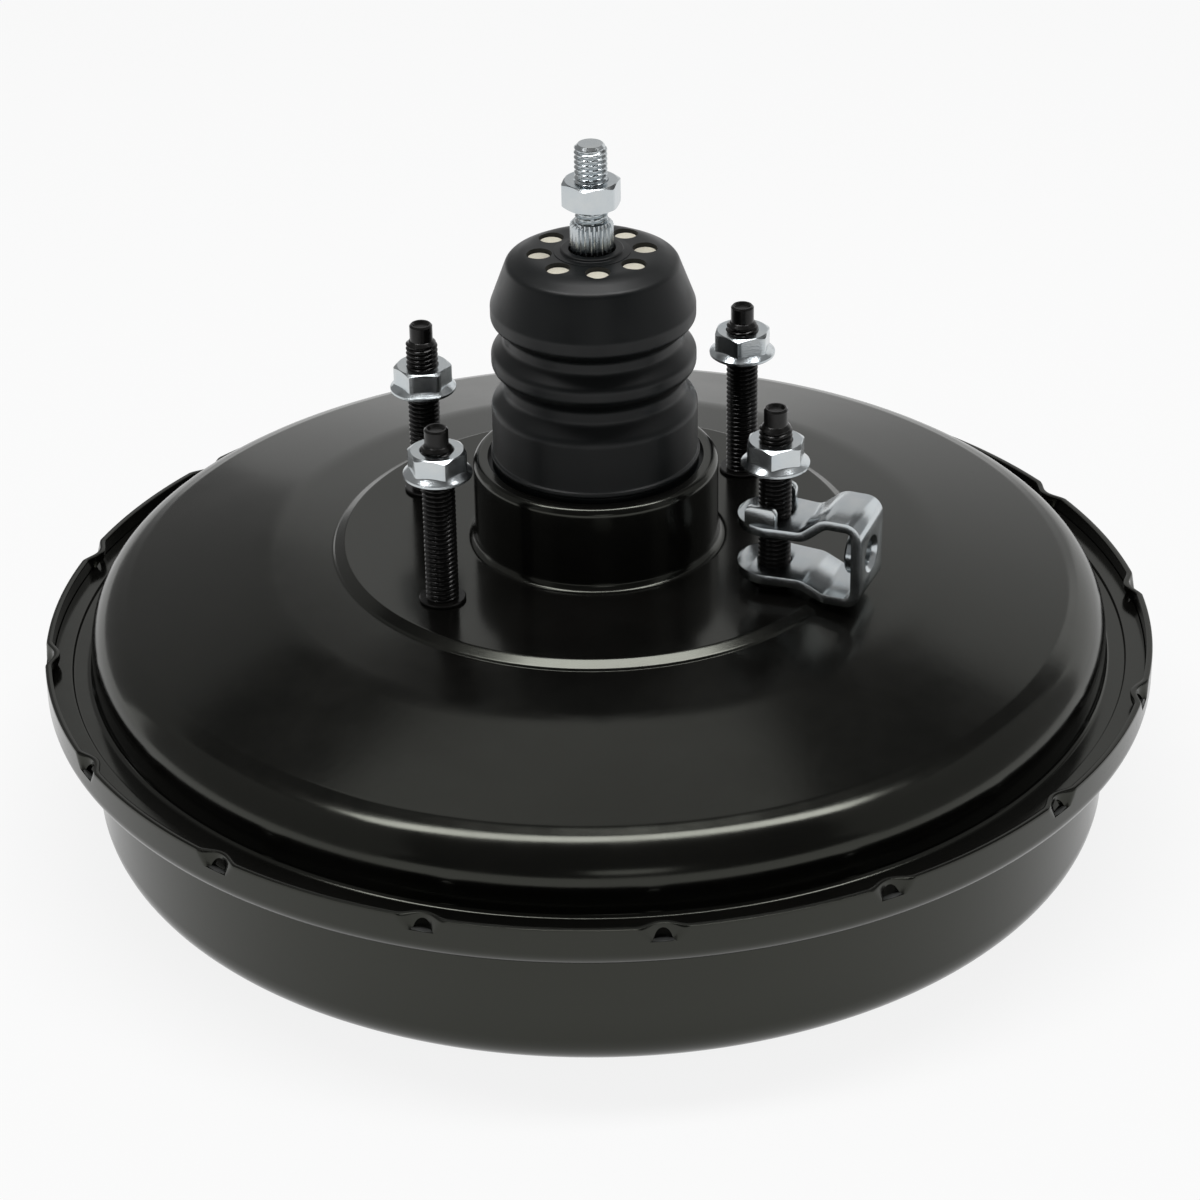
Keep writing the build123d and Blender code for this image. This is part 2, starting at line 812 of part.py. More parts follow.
def poppet_valve():
    """Rubber face ring, thin bellows and a bead that the retainer clamps."""
    face = vacuum_seat_height + press_gap
    back = face + 2 * poppet_spring_wire
    bellows = poppet_spring_radius + poppet_spring_wire
    outer = tube_bore_radius - press_gap
    return turned_polygon(
        (poppet_hole_radius, face),
        (poppet_face_radius, face),
        (poppet_face_radius, face + poppet_skin),
        (bellows + poppet_skin, back),
        (bellows + poppet_skin, poppet_top - poppet_bead_height - poppet_skin),
        (outer, poppet_top - poppet_bead_height),
        (outer, poppet_top),
        (bellows, poppet_top),
        (bellows, back),
        (poppet_hole_radius, back),
    )


def poppet_retainer():
    bottom = poppet_top + press_gap
    outer = tube_bore_radius - press_gap
    inner = poppet_hole_radius + poppet_retainer_wall
    wall = poppet_retainer_wall
    return turned_polygon(
        (inner, bottom),
        (outer, bottom),
        (outer, bottom + poppet_retainer_height),
        (outer - wall, bottom + poppet_retainer_height),
        (outer - wall, bottom + wall),
        (inner, bottom + wall),
    )


def poppet_spring():
    back = vacuum_seat_height + press_gap + 2 * poppet_spring_wire
    return coil(poppet_spring_radius, poppet_spring_wire, back + press_gap, poppet_top, 4)


def rod_return_spring():
    bottom = poppet_top + poppet_retainer_wall + 2 * press_gap
    return coil(rod_spring_radius, rod_spring_wire, bottom, rod_spring_top - press_gap, 5)


def rod_spring_washer():
    return ring(rod_radius + press_gap, rod_washer_radius, rod_spring_top, rod_spring_top + rod_washer_height)


def input_rod():
    """Ball-ended rod with a splined grip and a threaded end."""
    slope = spline_radius - rod_radius
    neck_top_height = ball_height + rod_neck_length
    thread_free = lock_nut_bottom + lock_nut_height + slope / 2
    body = turned_polygon(
        (0, ball_height),
        (rod_neck_radius, ball_height),
        (rod_neck_radius, neck_top_height),
        (rod_radius, neck_top_height + rod_neck_taper),
        (rod_radius, spline_bottom - slope),
        (spline_root_radius, spline_bottom),
        (spline_root_radius, spline_top),
        (thread_pitch_radius, spline_top + slope),
        (thread_pitch_radius, thread_free),
        (thread_radius, thread_free),
        (thread_radius, rod_tip - thread_chamfer),
        (thread_radius - thread_chamfer, rod_tip),
        (0, rod_tip),
    )
    body += Pos(0, 0, ball_height) * Sphere(ball_radius)
    tooth_width = pi * spline_radius / spline_teeth
    tooth = Pos(spline_root_radius - spline_depth, 0, spline_bottom) * Box(
        2 * spline_depth, tooth_width, spline_length, align=(Align.MIN, Align.CENTER, Align.MIN)
    )
    tooth &= ring(0, spline_radius, spline_bottom, spline_top)
    body += [Rot(0, 0, i * 360 / spline_teeth) * tooth for i in range(spline_teeth)]
    return body


def air_silencer():
    return ring(
        filter_hole_radius,
        filter_bore_radius - press_gap,
        filter_shelf + press_gap,
        filter_top - felt_height - press_gap,
    )


def air_filter():
    return ring(filter_hole_radius, filter_bore_radius - press_gap, filter_top - felt_height, filter_top)


# ---------------------------------------------------------------- boot
def boot_skin():
    """The boot's outer skin from the bead in the neck up to the rod, and the bend at each corner."""
    corners = [(boot_cuff_radius, bearing_top + loose_gap)]
    bends = []
    height = boot_folds_bottom
    for _ in range(2):
        corners += [
            (boot_cuff_radius, height),
            (boot_groove_radius, height + boot_flank_width),
            (boot_groove_radius, height + boot_flank_width + boot_groove_width),
            (boot_crest_radius, height + 2 * boot_flank_width + boot_groove_width),
        ]
        bends += [boot_crest_bend, boot_groove_bend, boot_groove_bend, boot_crest_bend]
        height += boot_fold_height
    corners += [
        (boot_crest_radius, height),
        (boot_shoulder_radius, boot_top - boot_shoulder_drop),
        (boot_crown_radius, boot_top),
        (spline_radius + loose_gap, boot_top),
    ]
    bends += [boot_crest_bend, boot_shoulder_bend, boot_edge_bend]
    return corners, bends


def boot():
    """Folded rubber boot with a bead under the neck's lip and breather holes round the rod."""
    corners, bends = boot_skin()
    body = pressed_sheet(corners, bends, boot_wall, Side.LEFT)
    inner = boot_cuff_radius - boot_wall
    bead_outer = neck_inner_radius - boot_bead_reach
    body += ring(inner, bead_outer, bearing_top + loose_gap, neck_top - sheet - loose_gap)
    body += ring(inner, boot_cuff_radius + boot_ring_height, neck_top + loose_gap, neck_top + boot_wall)
    body += ring(spline_radius + loose_gap, boot_lip_radius, boot_top - boot_wall, boot_top + boot_lip_height)
    for i in range(breather_count):
        hole = Rot(0, 0, -90 + i * 360 / breather_count) * Pos(breather_ring_radius, 0, boot_top)
        body -= hole * Cylinder(breather_radius, 4 * boot_wall)
    return body


# ---------------------------------------------------------------- clevis
def clevis():
    """The fork in its own frame: pin axis on Z, base towards +X, lower strap's underside at z = 0."""
    ear_top = clevis_height - clevis_joggle_high
    start = (-clevis_ear_radius, ear_top)
    side_view = FilletPolyline(
        start,
        (clevis_joggle_start, ear_top),
        (clevis_joggle_end, clevis_height),
        (clevis_reach, clevis_height),
        (clevis_reach, 0),
        (clevis_joggle_end, 0),
        (clevis_joggle_start, clevis_joggle_low),
        (-clevis_ear_radius, clevis_joggle_low),
        radius=[*clevis_joggle_bends, clevis_corner, clevis_corner, *reversed(clevis_joggle_bends)],
    )
    strip = offset(side_view, amount=clevis_sheet, side=Side.RIGHT)
    wide = 2 * clevis_ear_radius
    body = extrude(Plane.XZ * make_face(strip.edges()), wide / 2, both=True)
    plan = Circle(clevis_ear_radius) + Pos(clevis_reach / 2, 0) * Rectangle(clevis_reach, clevis_width)
    body &= extrude(plan, clevis_height)
    middle = clevis_height / 2
    base = Pos(clevis_reach, 0, middle) * Rot(0, 90, 0)
    boss_length = clevis_sheet + clevis_boss_length
    body += base * Cylinder(clevis_boss_radius, boss_length, align=(Align.CENTER, Align.CENTER, Align.MAX))
    body -= base * Cylinder(clevis_tap_radius, 4 * boss_length)
    body -= base * Cone(
        clevis_tap_radius,
        clevis_tap_radius + clevis_countersink,
        clevis_countersink,
        align=(Align.CENTER, Align.CENTER, Align.MAX),
    )
    body -= Pos(0, 0, middle) * Cylinder(clevis_pin_radius, 2 * clevis_height)
    tab_sheet = 0.8 * clevis_sheet
    tab = Pos(clevis_tab_offset, 0, ear_top - clevis_sheet) * Box(
        clevis_tab_length,
        tab_sheet,
        clevis_sheet + clevis_tab_height,
        align=(Align.CENTER, Align.MIN, Align.MIN),
    )
    tab = fillet(tab.edges().filter_by(Axis.Y).group_by(Axis.Z)[-1], clevis_tab_rounding)
    body += Pos(0, clevis_width / 2 - tab_sheet, 0) * tab
    body += Pos(0, -clevis_width / 2, 0) * tab
    place = Pos(stud_x, -stud_y, plateau_height + clevis_rest_gap) * Rot(0, 0, clevis_turn)
    return place * body


def write(name, piece):
    solids = piece if isinstance(piece, list) else [piece]
    whole = solids[0] if len(solids) == 1 else Compound(children=[s for one in solids for s in one.solids()])
    export_step(whole, os.path.join("parts", name + ".step"))


PIECES = {
    "front_shell": front_shell,
    "rear_shell": rear_shell,
    "front_reinforcement": front_reinforcement,
    "rear_reinforcement": rear_reinforcement,
    "firewall_studs": firewall_studs,
    "firewall_nuts": firewall_nuts,
    "master_cylinder_studs": master_cylinder_studs,
    "front_seal": front_seal,
    "front_seal_retainer": front_seal_retainer,
    "vacuum_grommet": vacuum_grommet,
    "rear_seal": rear_seal,
    "rear_bearing": rear_bearing,
    "diaphragm_plate": diaphragm_plate,
    "diaphragm": diaphragm,
    "diaphragm_retainer": diaphragm_retainer,
    "valve_body": valve_body,
    "reaction_disc": reaction_disc,
    "output_rod": output_rod,
    "stop_key": stop_key,
    "return_spring": return_spring,
    "control_plunger": control_plunger,
    "poppet_valve": poppet_valve,
    "poppet_retainer": poppet_retainer,
    "poppet_spring": poppet_spring,
    "rod_return_spring": rod_return_spring,
    "rod_spring_washer": rod_spring_washer,
    "input_rod": input_rod,
    "lock_nut": lock_nut,
    "air_silencer": air_silencer,
    "air_filter": air_filter,
    "boot": boot,
    "clevis": clevis,
}

os.makedirs("parts", exist_ok=True)
for piece_name, make in PIECES.items():
    write(piece_name, make())
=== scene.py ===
# %% [markdown]
# A vacuum brake booster, dressed for a close look. The CAD model gives every place and size. This script
# loads it as a fixed frame and then replaces the parts that show with finer meshes: black pressed shells,
# a folded rubber boot, real threads, bevelled nuts and a bent steel fork.
# Lengths below are in millimetres, because that is how the drawing of such a part is dimensioned.

# %% Load the frame
import json
from math import atan2, ceil, cos, degrees, hypot, pi, radians, sin, sqrt, tan

import bmesh
import bpy
from mathutils import Matrix, Vector


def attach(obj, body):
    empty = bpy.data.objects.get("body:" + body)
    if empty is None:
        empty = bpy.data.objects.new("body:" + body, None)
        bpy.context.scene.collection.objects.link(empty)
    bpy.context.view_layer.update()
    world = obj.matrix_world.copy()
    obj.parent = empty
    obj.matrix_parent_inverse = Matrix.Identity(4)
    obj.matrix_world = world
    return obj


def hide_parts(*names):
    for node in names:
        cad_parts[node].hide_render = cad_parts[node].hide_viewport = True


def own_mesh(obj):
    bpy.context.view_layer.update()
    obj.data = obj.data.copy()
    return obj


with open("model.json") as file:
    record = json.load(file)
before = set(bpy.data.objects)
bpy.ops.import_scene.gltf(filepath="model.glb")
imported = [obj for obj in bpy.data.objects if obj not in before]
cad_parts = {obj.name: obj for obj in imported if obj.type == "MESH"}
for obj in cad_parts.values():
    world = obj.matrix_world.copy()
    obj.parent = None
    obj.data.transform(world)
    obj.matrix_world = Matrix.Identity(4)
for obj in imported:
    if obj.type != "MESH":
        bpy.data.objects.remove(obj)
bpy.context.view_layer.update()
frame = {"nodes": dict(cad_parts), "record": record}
mm = 0.001
print("nodes:", len(frame["nodes"]))

# %% [markdown]
# Paint and plating are given as sRGB hex values, but the shader works in linear light.
# One function does that conversion for every colour in the scene.

# %% Colours
def colour(hexa):
    """Linear RGBA from an sRGB hex string such as "1a1917"."""
    channels = [int(hexa[i:i + 2], 16) / 255 for i in (0, 2, 4)]
    linear = [c / 12.92 if c <= 0.04045 else ((c + 0.055) / 1.055) ** 2.4 for c in channels]
    return (*linear, 1.0)


def add_node(tree, kind, links=(), **settings):
    """A shader node with its input values, its settings and its links, each as (input, other socket)."""
    node = tree.nodes.new(kind)
    for name, value in settings.items():
        if name in node.inputs:
            node.inputs[name].default_value = value
        elif name.replace("_", " ") in node.inputs:
            node.inputs[name.replace("_", " ")].default_value = value
        else:
            setattr(node, name, value)
    for name, socket in links:
        tree.links.new(socket, node.inputs[name])
    return node


def new_material(name, base, roughness, metallic=0.0):
    """A material with its Principled shader, as the material, its tree, the shader and a place."""
    material = bpy.data.materials.new(name)
    material.use_nodes = True
    tree = material.node_tree
    shader = tree.nodes["Principled BSDF"]
    shader.inputs["Base Color"].default_value = colour(base)
    shader.inputs["Roughness"].default_value = roughness
    shader.inputs["Metallic"].default_value = metallic
    place = tree.nodes.new("ShaderNodeTexCoord").outputs["Object"]
    return material, tree, shader, place


def noise(tree, place, grain_mm, detail=3.0, roughness=0.55):
    """Noise whose grains are about so many millimetres across."""
    node = add_node(
        tree, "ShaderNodeTexNoise", [("Vector", place)],
        Scale=1 / (grain_mm * mm), Detail=detail, Roughness=roughness,
    )
    return node.outputs["Fac"]


def remap(tree, value, low, high, to_low, to_high):
    """A value stretched from one range to another."""
    node = tree.nodes.new("ShaderNodeMapRange")
    tree.links.new(value, node.inputs["Value"])
    for name, number in zip(("From Min", "From Max", "To Min", "To Max"), (low, high, to_low, to_high)):
        node.inputs[name].default_value = number
    return node.outputs["Result"]


def add_bump(tree, shader, height, depth_mm, strength=1.0):
    """Relief of about that depth, added to the shader's normal."""
    bump = add_node(
        tree, "ShaderNodeBump", [("Height", height)], Strength=strength, Distance=depth_mm * mm
    )
    tree.links.new(bump.outputs["Normal"], shader.inputs["Normal"])


# %% [markdown]
# The shells are deep-drawn steel with a baked black electro-coat. The coat is thin and flows well, so it
# mirrors soft lights, but it keeps a faint orange peel and a little handling dust that dulls it unevenly.

# %% Electro-coated steel
def electro_coat():
    material, tree, shader, place = new_material("electro_coated_steel", "0b0b0a", 0.2)
    peel = noise(tree, place, 2.2, detail=2.0)
    dust = noise(tree, place, 34.0, detail=6.0, roughness=0.7)
    tree.links.new(remap(tree, dust, 0.3, 0.75, 0.13, 0.22), shader.inputs["Roughness"])
    dusty = remap(tree, dust, 0.35, 0.8, 0.0, 1.0)
    shade = add_node(tree, "ShaderNodeMix", [("Factor", dusty)], data_type="RGBA")
    shade.inputs["A"].default_value = colour("0a0a09")
    shade.inputs["B"].default_value = colour("11100f")
    tree.links.new(shade.outputs["Result"], shader.inputs["Base Color"])
    shader.inputs["Specular Tint"].default_value = colour("fcfff0")
    add_bump(tree, shader, peel, 0.012, 0.5)
    return material


# %% [markdown]
# The nuts, the pedal rod and the fork are steel with a bright zinc plate under a clear blue passivate:
# a cold, slightly blue metal whose crystals scatter light, so it is satin rather than mirror bright.

# %% Zinc plate
def zinc_plate():
    material, tree, shader, place = new_material("blue_zinc_plated_steel", "c6cbce", 0.2, 1.0)
    cloud = noise(tree, place, 6.0, detail=5.0)
    grain = noise(tree, place, 0.5, detail=3.0)
    tree.links.new(remap(tree, cloud, 0.3, 0.7, 0.17, 0.23), shader.inputs["Roughness"])
    clouded = remap(tree, cloud, 0.3, 0.7, 0.0, 1.0)
    tint = add_node(tree, "ShaderNodeMix", [("Factor", clouded)], data_type="RGBA")
    tint.inputs["A"].default_value = colour("bfc6ca")
    tint.inputs["B"].default_value = colour("ccd0d1")
    tree.links.new(tint.outputs["Result"], shader.inputs["Base Color"])
    add_bump(tree, shader, grain, 0.03, 0.5)
    return material


# %% [markdown]
# The four long studs are heat-treated and blackened in a hot oxide bath, then oiled. They stay a metal,
# but a very dark one, with a soft sheen along each thread's flank.

# %% Black oxide
def black_oxide():
    material, tree, shader, place = new_material("oil_blackened_steel", "1a1918", 0.3, 0.4)
    wear = noise(tree, place, 1.6, detail=4.0)
    tree.links.new(remap(tree, wear, 0.3, 0.75, 0.22, 0.28), shader.inputs["Roughness"])
    add_bump(tree, shader, noise(tree, place, 0.3), 0.004, 0.5)
    return material


# %% [markdown]
# The boot is moulded EPDM rubber. Fresh from the mould it is satin, with a cool bloom and a fine
# grain left by the blasted tool.

# %% Moulded rubber
def moulded_rubber(name="moulded_epdm_rubber", base="0c0f10", shine=(0.36, 0.46)):
    material, tree, shader, place = new_material(name, base, shine[0])
    bloom = noise(tree, place, 9.0, detail=5.0)
    grain = noise(tree, place, 0.35, detail=2.0)
    tree.links.new(remap(tree, bloom, 0.3, 0.7, *shine), shader.inputs["Roughness"])
    shader.inputs["Specular IOR Level"].default_value = 0.38
    add_bump(tree, shader, grain, 0.03, 0.35)
    return material


# %% [markdown]
# The air filter is needled wool felt: pale cream, with no shine at all and short fibres lying every way.
# A fine noise stands for the fibres, drawn about twice as thick as real ones so
# that they show.

# %% Wool felt
def wool_felt():
    material, tree, shader, place = new_material("needled_wool_felt", "e6dfcb", 0.95)
    fibres = noise(tree, place, 0.45, detail=6.0, roughness=0.7)
    shade = add_node(tree, "ShaderNodeMix", [("Factor", fibres)], data_type="RGBA")
    shade.inputs["A"].default_value = colour("cfc6ad")
    shade.inputs["B"].default_value = colour("faf6e8")
    tree.links.new(shade.outputs["Result"], shader.inputs["Base Color"])
    shader.inputs["Sheen Weight"].default_value = 0.3
    add_bump(tree, shader, fibres, 0.3, 0.8)
    return material


# %% [markdown]
# The pieces inside hardly show, but each still has the finish of the real one, so that the model also
# looks right when it is taken apart: phosphated steel plates, spring steel, moulded phenolic and nylon,
# turned aluminium and open-cell foam.

# %% Finishes of the pieces inside
def plain_finish(name, base, roughness, metallic, grain_mm, depth_mm):
    """One base colour with an uneven surface of the stated grain."""
    material, tree, shader, place = new_material(name, base, roughness, metallic)
    grain = noise(tree, place, grain_mm, detail=4.0)
    uneven = remap(tree, grain, 0.3, 0.7, roughness * 0.85, min(1.0, roughness * 1.2))
    tree.links.new(uneven, shader.inputs["Roughness"])
    add_bump(tree, shader, grain, depth_mm, 0.6)
    return material


finishes = {
    "shell_paint": electro_coat(),
    "zinc": zinc_plate(),
    "black_oxide": black_oxide(),
    "boot_rubber": moulded_rubber(),
    "seal_rubber": moulded_rubber("moulded_seal_rubber", "141414", (0.55, 0.7)),
    "felt": wool_felt(),
    "steel": plain_finish("phosphated_steel", "6d6e6e", 0.5, 0.9, 1.2, 0.02),
    "spring_steel": plain_finish("hardened_spring_steel", "4c4d50", 0.35, 1.0, 0.8, 0.01),
    "phenolic": plain_finish("moulded_phenolic", "2b241f", 0.45, 0.0, 1.0, 0.02),
    "nylon": plain_finish("moulded_nylon", "d8d2c0", 0.42, 0.0, 1.5, 0.02),
    "foam": plain_finish("open_cell_foam", "2b2b2b", 0.95, 0.0, 0.8, 0.4),
    "aluminium": plain_finish("turned_aluminium", "c9cacc", 0.3, 1.0, 0.6, 0.01),
}
# The slit lips' lighter, more metallic colour is partly thin paint on a sheared edge and partly a painted
# highlight for the light that the rolled crescent catches.
lip_paint_and_painted_highlight = plain_finish("sheared_edge_thin_coat_and_painted_highlight", "5a5b5a", 0.34, 0.9, 0.8, 0.02)
slot_of = {entry["node"]: entry["material_slot"] for entry in frame["record"]["subparts"]}
for node_name, node_object in frame["nodes"].items():
    node_object.data.materials.clear()
    node_object.data.materials.append(finishes[slot_of[node_name]])
print("finishes:", len(finishes))

# %% [markdown]
# Pressed and turned parts are all outlines spun about an axis. The outline is drawn with a few corners
# and a bend radius at each. Short support points beside every bend keep the flat stretches flat when
# the surface is shaded smooth.

# %% Outlines
def bent_line(corners, bends, step=9.0, support=0.35):
    """Points and left-hand normals along a line with rounded corners, as lists of (x, y)."""
    points, normals = [], []

    def put(x, y, nx, ny):
        if not points or hypot(x - points[-1][0], y - points[-1][1]) > 1e-6:
            points.append((x, y))
            normals.append((nx, ny))

    last = corners[0]
    for i in range(1, len(corners)):
        (ax, ay), (bx, by) = corners[i - 1], corners[i]
        run = hypot(bx - ax, by - ay)
        ux, uy = (bx - ax) / run, (by - ay) / run
        cut, arc = 0.0, []
        if i < len(corners) - 1 and bends[i - 1] > 0:
            cx, cy = corners[i + 1]
            after = hypot(cx - bx, cy - by)
            vx, vy = (cx - bx) / after, (cy - by) / after
            turn = atan2(ux * vy - uy * vx, ux * vx + uy * vy)
            cut = bends[i - 1] * tan(abs(turn) / 2)
            hand = 1 if turn > 0 else -1
            start = (bx - ux * cut, by - uy * cut)
            radius = hand * bends[i - 1]
            centre = (start[0] - uy * radius, start[1] + ux * radius)
            count = max(3, ceil(degrees(abs(turn)) / step))
            for k in range(count + 1):
                angle = turn * k / count
                nx = -uy * cos(angle) - ux * sin(angle)
                ny = ux * cos(angle) - uy * sin(angle)
                arc.append((centre[0] - nx * radius, centre[1] - ny * radius, nx, ny))
        end = (bx - ux * cut, by - uy * cut)
        free = hypot(end[0] - last[0], end[1] - last[1])
        put(last[0], last[1], -uy, ux)
        if free > 3 * support:
            put(last[0] + ux * support, last[1] + uy * support, -uy, ux)
            put(end[0] - ux * support, end[1] - uy * support, -uy, ux)
        put(end[0], end[1], -uy, ux)
        for x, y, nx, ny in arc:
            put(x, y, nx, ny)
        last = arc[-1][:2] if arc else (bx, by)
    return points, normals


def sheet_outline(corners, bends, thickness):
    """Closed outline of a sheet: one skin is the line, the other lies to its left, or right if negative."""
    points, normals = bent_line(corners, bends)
    other = [(x + nx * thickness, y + ny * thickness) for (x, y), (nx, ny) in zip(points, normals)]
    return points + other[::-1]


# %% Meshes
def raw_object(name, vertices, faces, weld=False):
    """An object from plain lists in millimetres, with its faces turned outwards."""
    mesh = bpy.data.meshes.new(name)
    mesh.from_pydata([(x * mm, y * mm, z * mm) for x, y, z in vertices], [], faces)
    work = bmesh.new()
    work.from_mesh(mesh)
    if weld:
        bmesh.ops.remove_doubles(work, verts=work.verts, dist=1e-7)
        bmesh.ops.dissolve_degenerate(work, edges=work.edges, dist=1e-7)
    bmesh.ops.recalc_face_normals(work, faces=work.faces)
    work.to_mesh(mesh)
    work.free()
    piece = bpy.data.objects.new(name, mesh)
    bpy.context.scene.collection.objects.link(piece)
    return piece


def mesh_piece(name, vertices, faces, slot, body, sharp=32.0):
    """A finished piece, smooth but for edges sharper than the given angle."""
    piece = raw_object(name, vertices, faces, weld=True)
    finish_piece(piece, slot, body, sharp)
    return piece


def finish_piece(piece, slot, body, sharp=32.0):
    """Smooth shading, the material of the named slot, and the body."""
    mesh = piece.data
    mesh.polygons.foreach_set("use_smooth", [True] * len(mesh.polygons))
    mesh.set_sharp_from_angle(angle=radians(sharp))
    mesh.materials.clear()
    mesh.materials.append(finishes[slot])
    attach(piece, body)


def apply_change(piece):
    """Turns the piece's mesh into what its modifier makes of it."""
    old = piece.data
    result = bpy.data.meshes.new_from_object(piece.evaluated_get(bpy.context.evaluated_depsgraph_get()))
    piece.modifiers.clear()
    piece.data = result
    bpy.data.meshes.remove(old)


def spin_solid(outline, segments=96, place=(0.0, 0.0)):
    """Vertices and faces of a closed outline of (radius, height) spun about a vertical axis."""
    vertices, faces, rows = [], [], []
    for r, z in outline:
        if abs(r) < 1e-6:
            rows.append([len(vertices)] * segments)
            vertices.append((place[0], place[1], z))
            continue
        rows.append(list(range(len(vertices), len(vertices) + segments)))
        for k in range(segments):
            angle = 2 * pi * k / segments
            vertices.append((place[0] + r * cos(angle), place[1] + r * sin(angle), z))
    count = len(outline)
    for i in range(count):
        low, high = rows[i], rows[(i + 1) % count]
        for k in range(segments):
            n = (k + 1) % segments
            corners = [low[k], low[n], high[n], high[k]]
            unique = list(dict.fromkeys(corners))
            if len(unique) > 2:
                faces.append(unique)
    return vertices, faces


def join(*solids):
    """Several lists of vertices and faces as one."""
    vertices, faces = [], []
    for solid_vertices, solid_faces in solids:
        start = len(vertices)
        vertices += solid_vertices
        faces += [[start + corner for corner in face] for face in solid_faces]
    return vertices, faces


# %% [markdown]
# The front shell is a shallow pan. Its side wall flares out at the top into a flat ledge and an upright
# rim, and the rear shell's flange is clamped inside that rim. The pan is spun here up to the height of
# the flange; the rest of the rim is made next, because it is not round.

# %% Front shell, up to the flange
shell_segments = 576         # fine enough for the long reflections to run smoothly
sheet = 1.6
wall_radius = 128.2
rim_radius = 139.0
rim_top = 46.7
flange_top = 43.0
flare_height = 36.0
recess_depth = 20.0
pilot_radius = 19.0
pan_corners = [
    (pilot_radius, recess_depth), (54.0, recess_depth), (58.0, 0.0), (wall_radius, 0.0),
    (wall_radius, flare_height), (rim_radius, flare_height), (rim_radius, flange_top + 0.05),
]
pan_bends = [5.0, 5.0, 8.5, 2.5, 4.0]
pan_outline = sheet_outline(pan_corners, pan_bends, sheet)
print("pan outline points:", len(pan_outline))

# %% [markdown]
# Sixteen tabs hold the two shells together. Each is a slit in the rim just above the rear flange, with
# the metal over it pushed inwards. The dent is narrow at the slit and widens upwards, so that from above
# the rim has a shallow scallop. At the slit there is a small arch, and the cut edge below it is rolled
# to a crescent that catches the light.

# %% The rim's lanced band
lance_count = 16
lance_depth = 2.1
lance_reach_low = 3.2        # half the dent's width at the slit
lance_reach_high = 6.2       # and at the rim's edge
arch_radius = 2.1
arch_rise = 1.15             # height of the arch over half its width
edge_round = 0.35
lip_reach = 4.2              # half the width of the rolled lip under a slit
lip_half_depth, lip_half_height = 0.8, 0.95
slit_height = flange_top + 0.05


def lance_push(s, z):
    """How far the rim is pushed in, at a distance s along it from the middle of a tab and a height z."""
    share = (z - slit_height) / (rim_top - slit_height)
    reach = lance_reach_low + (lance_reach_high - lance_reach_low) * share
    if abs(s) >= reach:
        return 0.0
    return lance_depth * (0.5 + 0.5 * cos(pi * s / reach)) ** 0.8


def lanced_band():
    half_sector = pi * rim_radius / lance_count
    near = [arch_radius * sin(pi / 2 * k / 8) for k in range(9)]
    middle = [arch_radius + (lance_reach_high - arch_radius) * k / 18 for k in range(1, 19)]
    far = [lance_reach_high + (half_sector - lance_reach_high) * k / 8 for k in range(1, 8)]
    right = near + middle + far
    stations = [-s for s in reversed(right[1:])] + right + [half_sector]
    vertices, faces = [], []
    columns = lance_count * len(stations)
    rows = [0.15, 0.3, 0.5, 0.72, 0.9]
    for i in range(lance_count):
        for s in stations:
            angle = 2 * pi * i / lance_count + s / rim_radius
            arch = arch_rise * sqrt(arch_radius ** 2 - s ** 2) if abs(s) < arch_radius else 0.0
            low = slit_height + arch
            high = rim_top - edge_round - 0.05
            ring = [(0.0, low)]
            ring += [(0.0, low + (high - low) * share) for share in rows]
            ring += [(0.0, high), (0.1, rim_top - 0.1), (edge_round, rim_top)]
            ring += [(sheet - edge_round, rim_top), (sheet - 0.1, rim_top - 0.1), (sheet, high)]
            ring += [(sheet, low + (high - low) * share) for share in reversed(rows)]
            ring += [(sheet, low)]
            for depth, z in ring:
                r = rim_radius - lance_push(s, z) - depth
                vertices.append((r * cos(angle), r * sin(angle), z))
    size = len(vertices) // columns
    for c in range(columns):
        n = (c + 1) % columns
        for k in range(size):
            m = (k + 1) % size
            faces.append([c * size + k, n * size + k, n * size + m, c * size + m])
    return vertices, faces


def slit_lip(angle):
    """The rolled lower edge of one slit: a thin bar with a round top that fades out at both ends."""
    vertices, faces = [], []
    steps, around = 20, 10
    for k in range(steps + 1):
        s = lip_reach * (2 * k / steps - 1)
        swell = max(0.02, cos(pi * s / (2 * lip_reach))) ** 0.7
        for m in range(around):
            turn = 2 * pi * m / around
            r = rim_radius - 0.82 + lip_half_depth * swell * cos(turn)
            z = slit_height - 0.4 + lip_half_height * swell * sin(turn)
            at = angle + s / rim_radius
            vertices.append((r * cos(at), r * sin(at), z))
    for k in range(steps):
        for m in range(around):
            n = (m + 1) % around
            faces.append([k * around + m, k * around + n, (k + 1) * around + n, (k + 1) * around + m])
    faces.append(list(range(around)))
    faces.append([steps * around + m for m in reversed(range(around))])
    return vertices, faces


front_shell = mesh_piece(
    "front_shell_pan", *spin_solid(pan_outline, shell_segments), "shell_paint", "housing"
)
lips = [slit_lip(2 * pi * i / lance_count) for i in range(lance_count)]
rim_band = mesh_piece("front_shell_lanced_rim", *lanced_band(), "shell_paint", "housing")
slit_lips = mesh_piece("front_shell_slit_lips", *join(*lips), "shell_paint", "housing")
# painted highlight: the lips' lighter colour is partly thin paint on the cut edge and partly light painted
# onto the crescent
slit_lips.data.materials[0] = lip_paint_and_painted_highlight
for piece in (front_shell, rim_band, slit_lips):
    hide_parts("front_shell")
print("front shell faces:", len(front_shell.data.polygons), "and", len(rim_band.data.polygons))

# %% Vacuum port's pocket
def subtract(piece, *cutters):
    """The piece without the cutters, which are lists of vertices and faces."""
    for vertices, faces in cutters:
        cutter = raw_object("cutter", vertices, faces)
        change = piece.modifiers.new("cut", "BOOLEAN")
        change.object = cutter
        change.operation = "DIFFERENCE"
        change.solver = "EXACT"
        apply_change(piece)
        bpy.data.objects.remove(cutter)


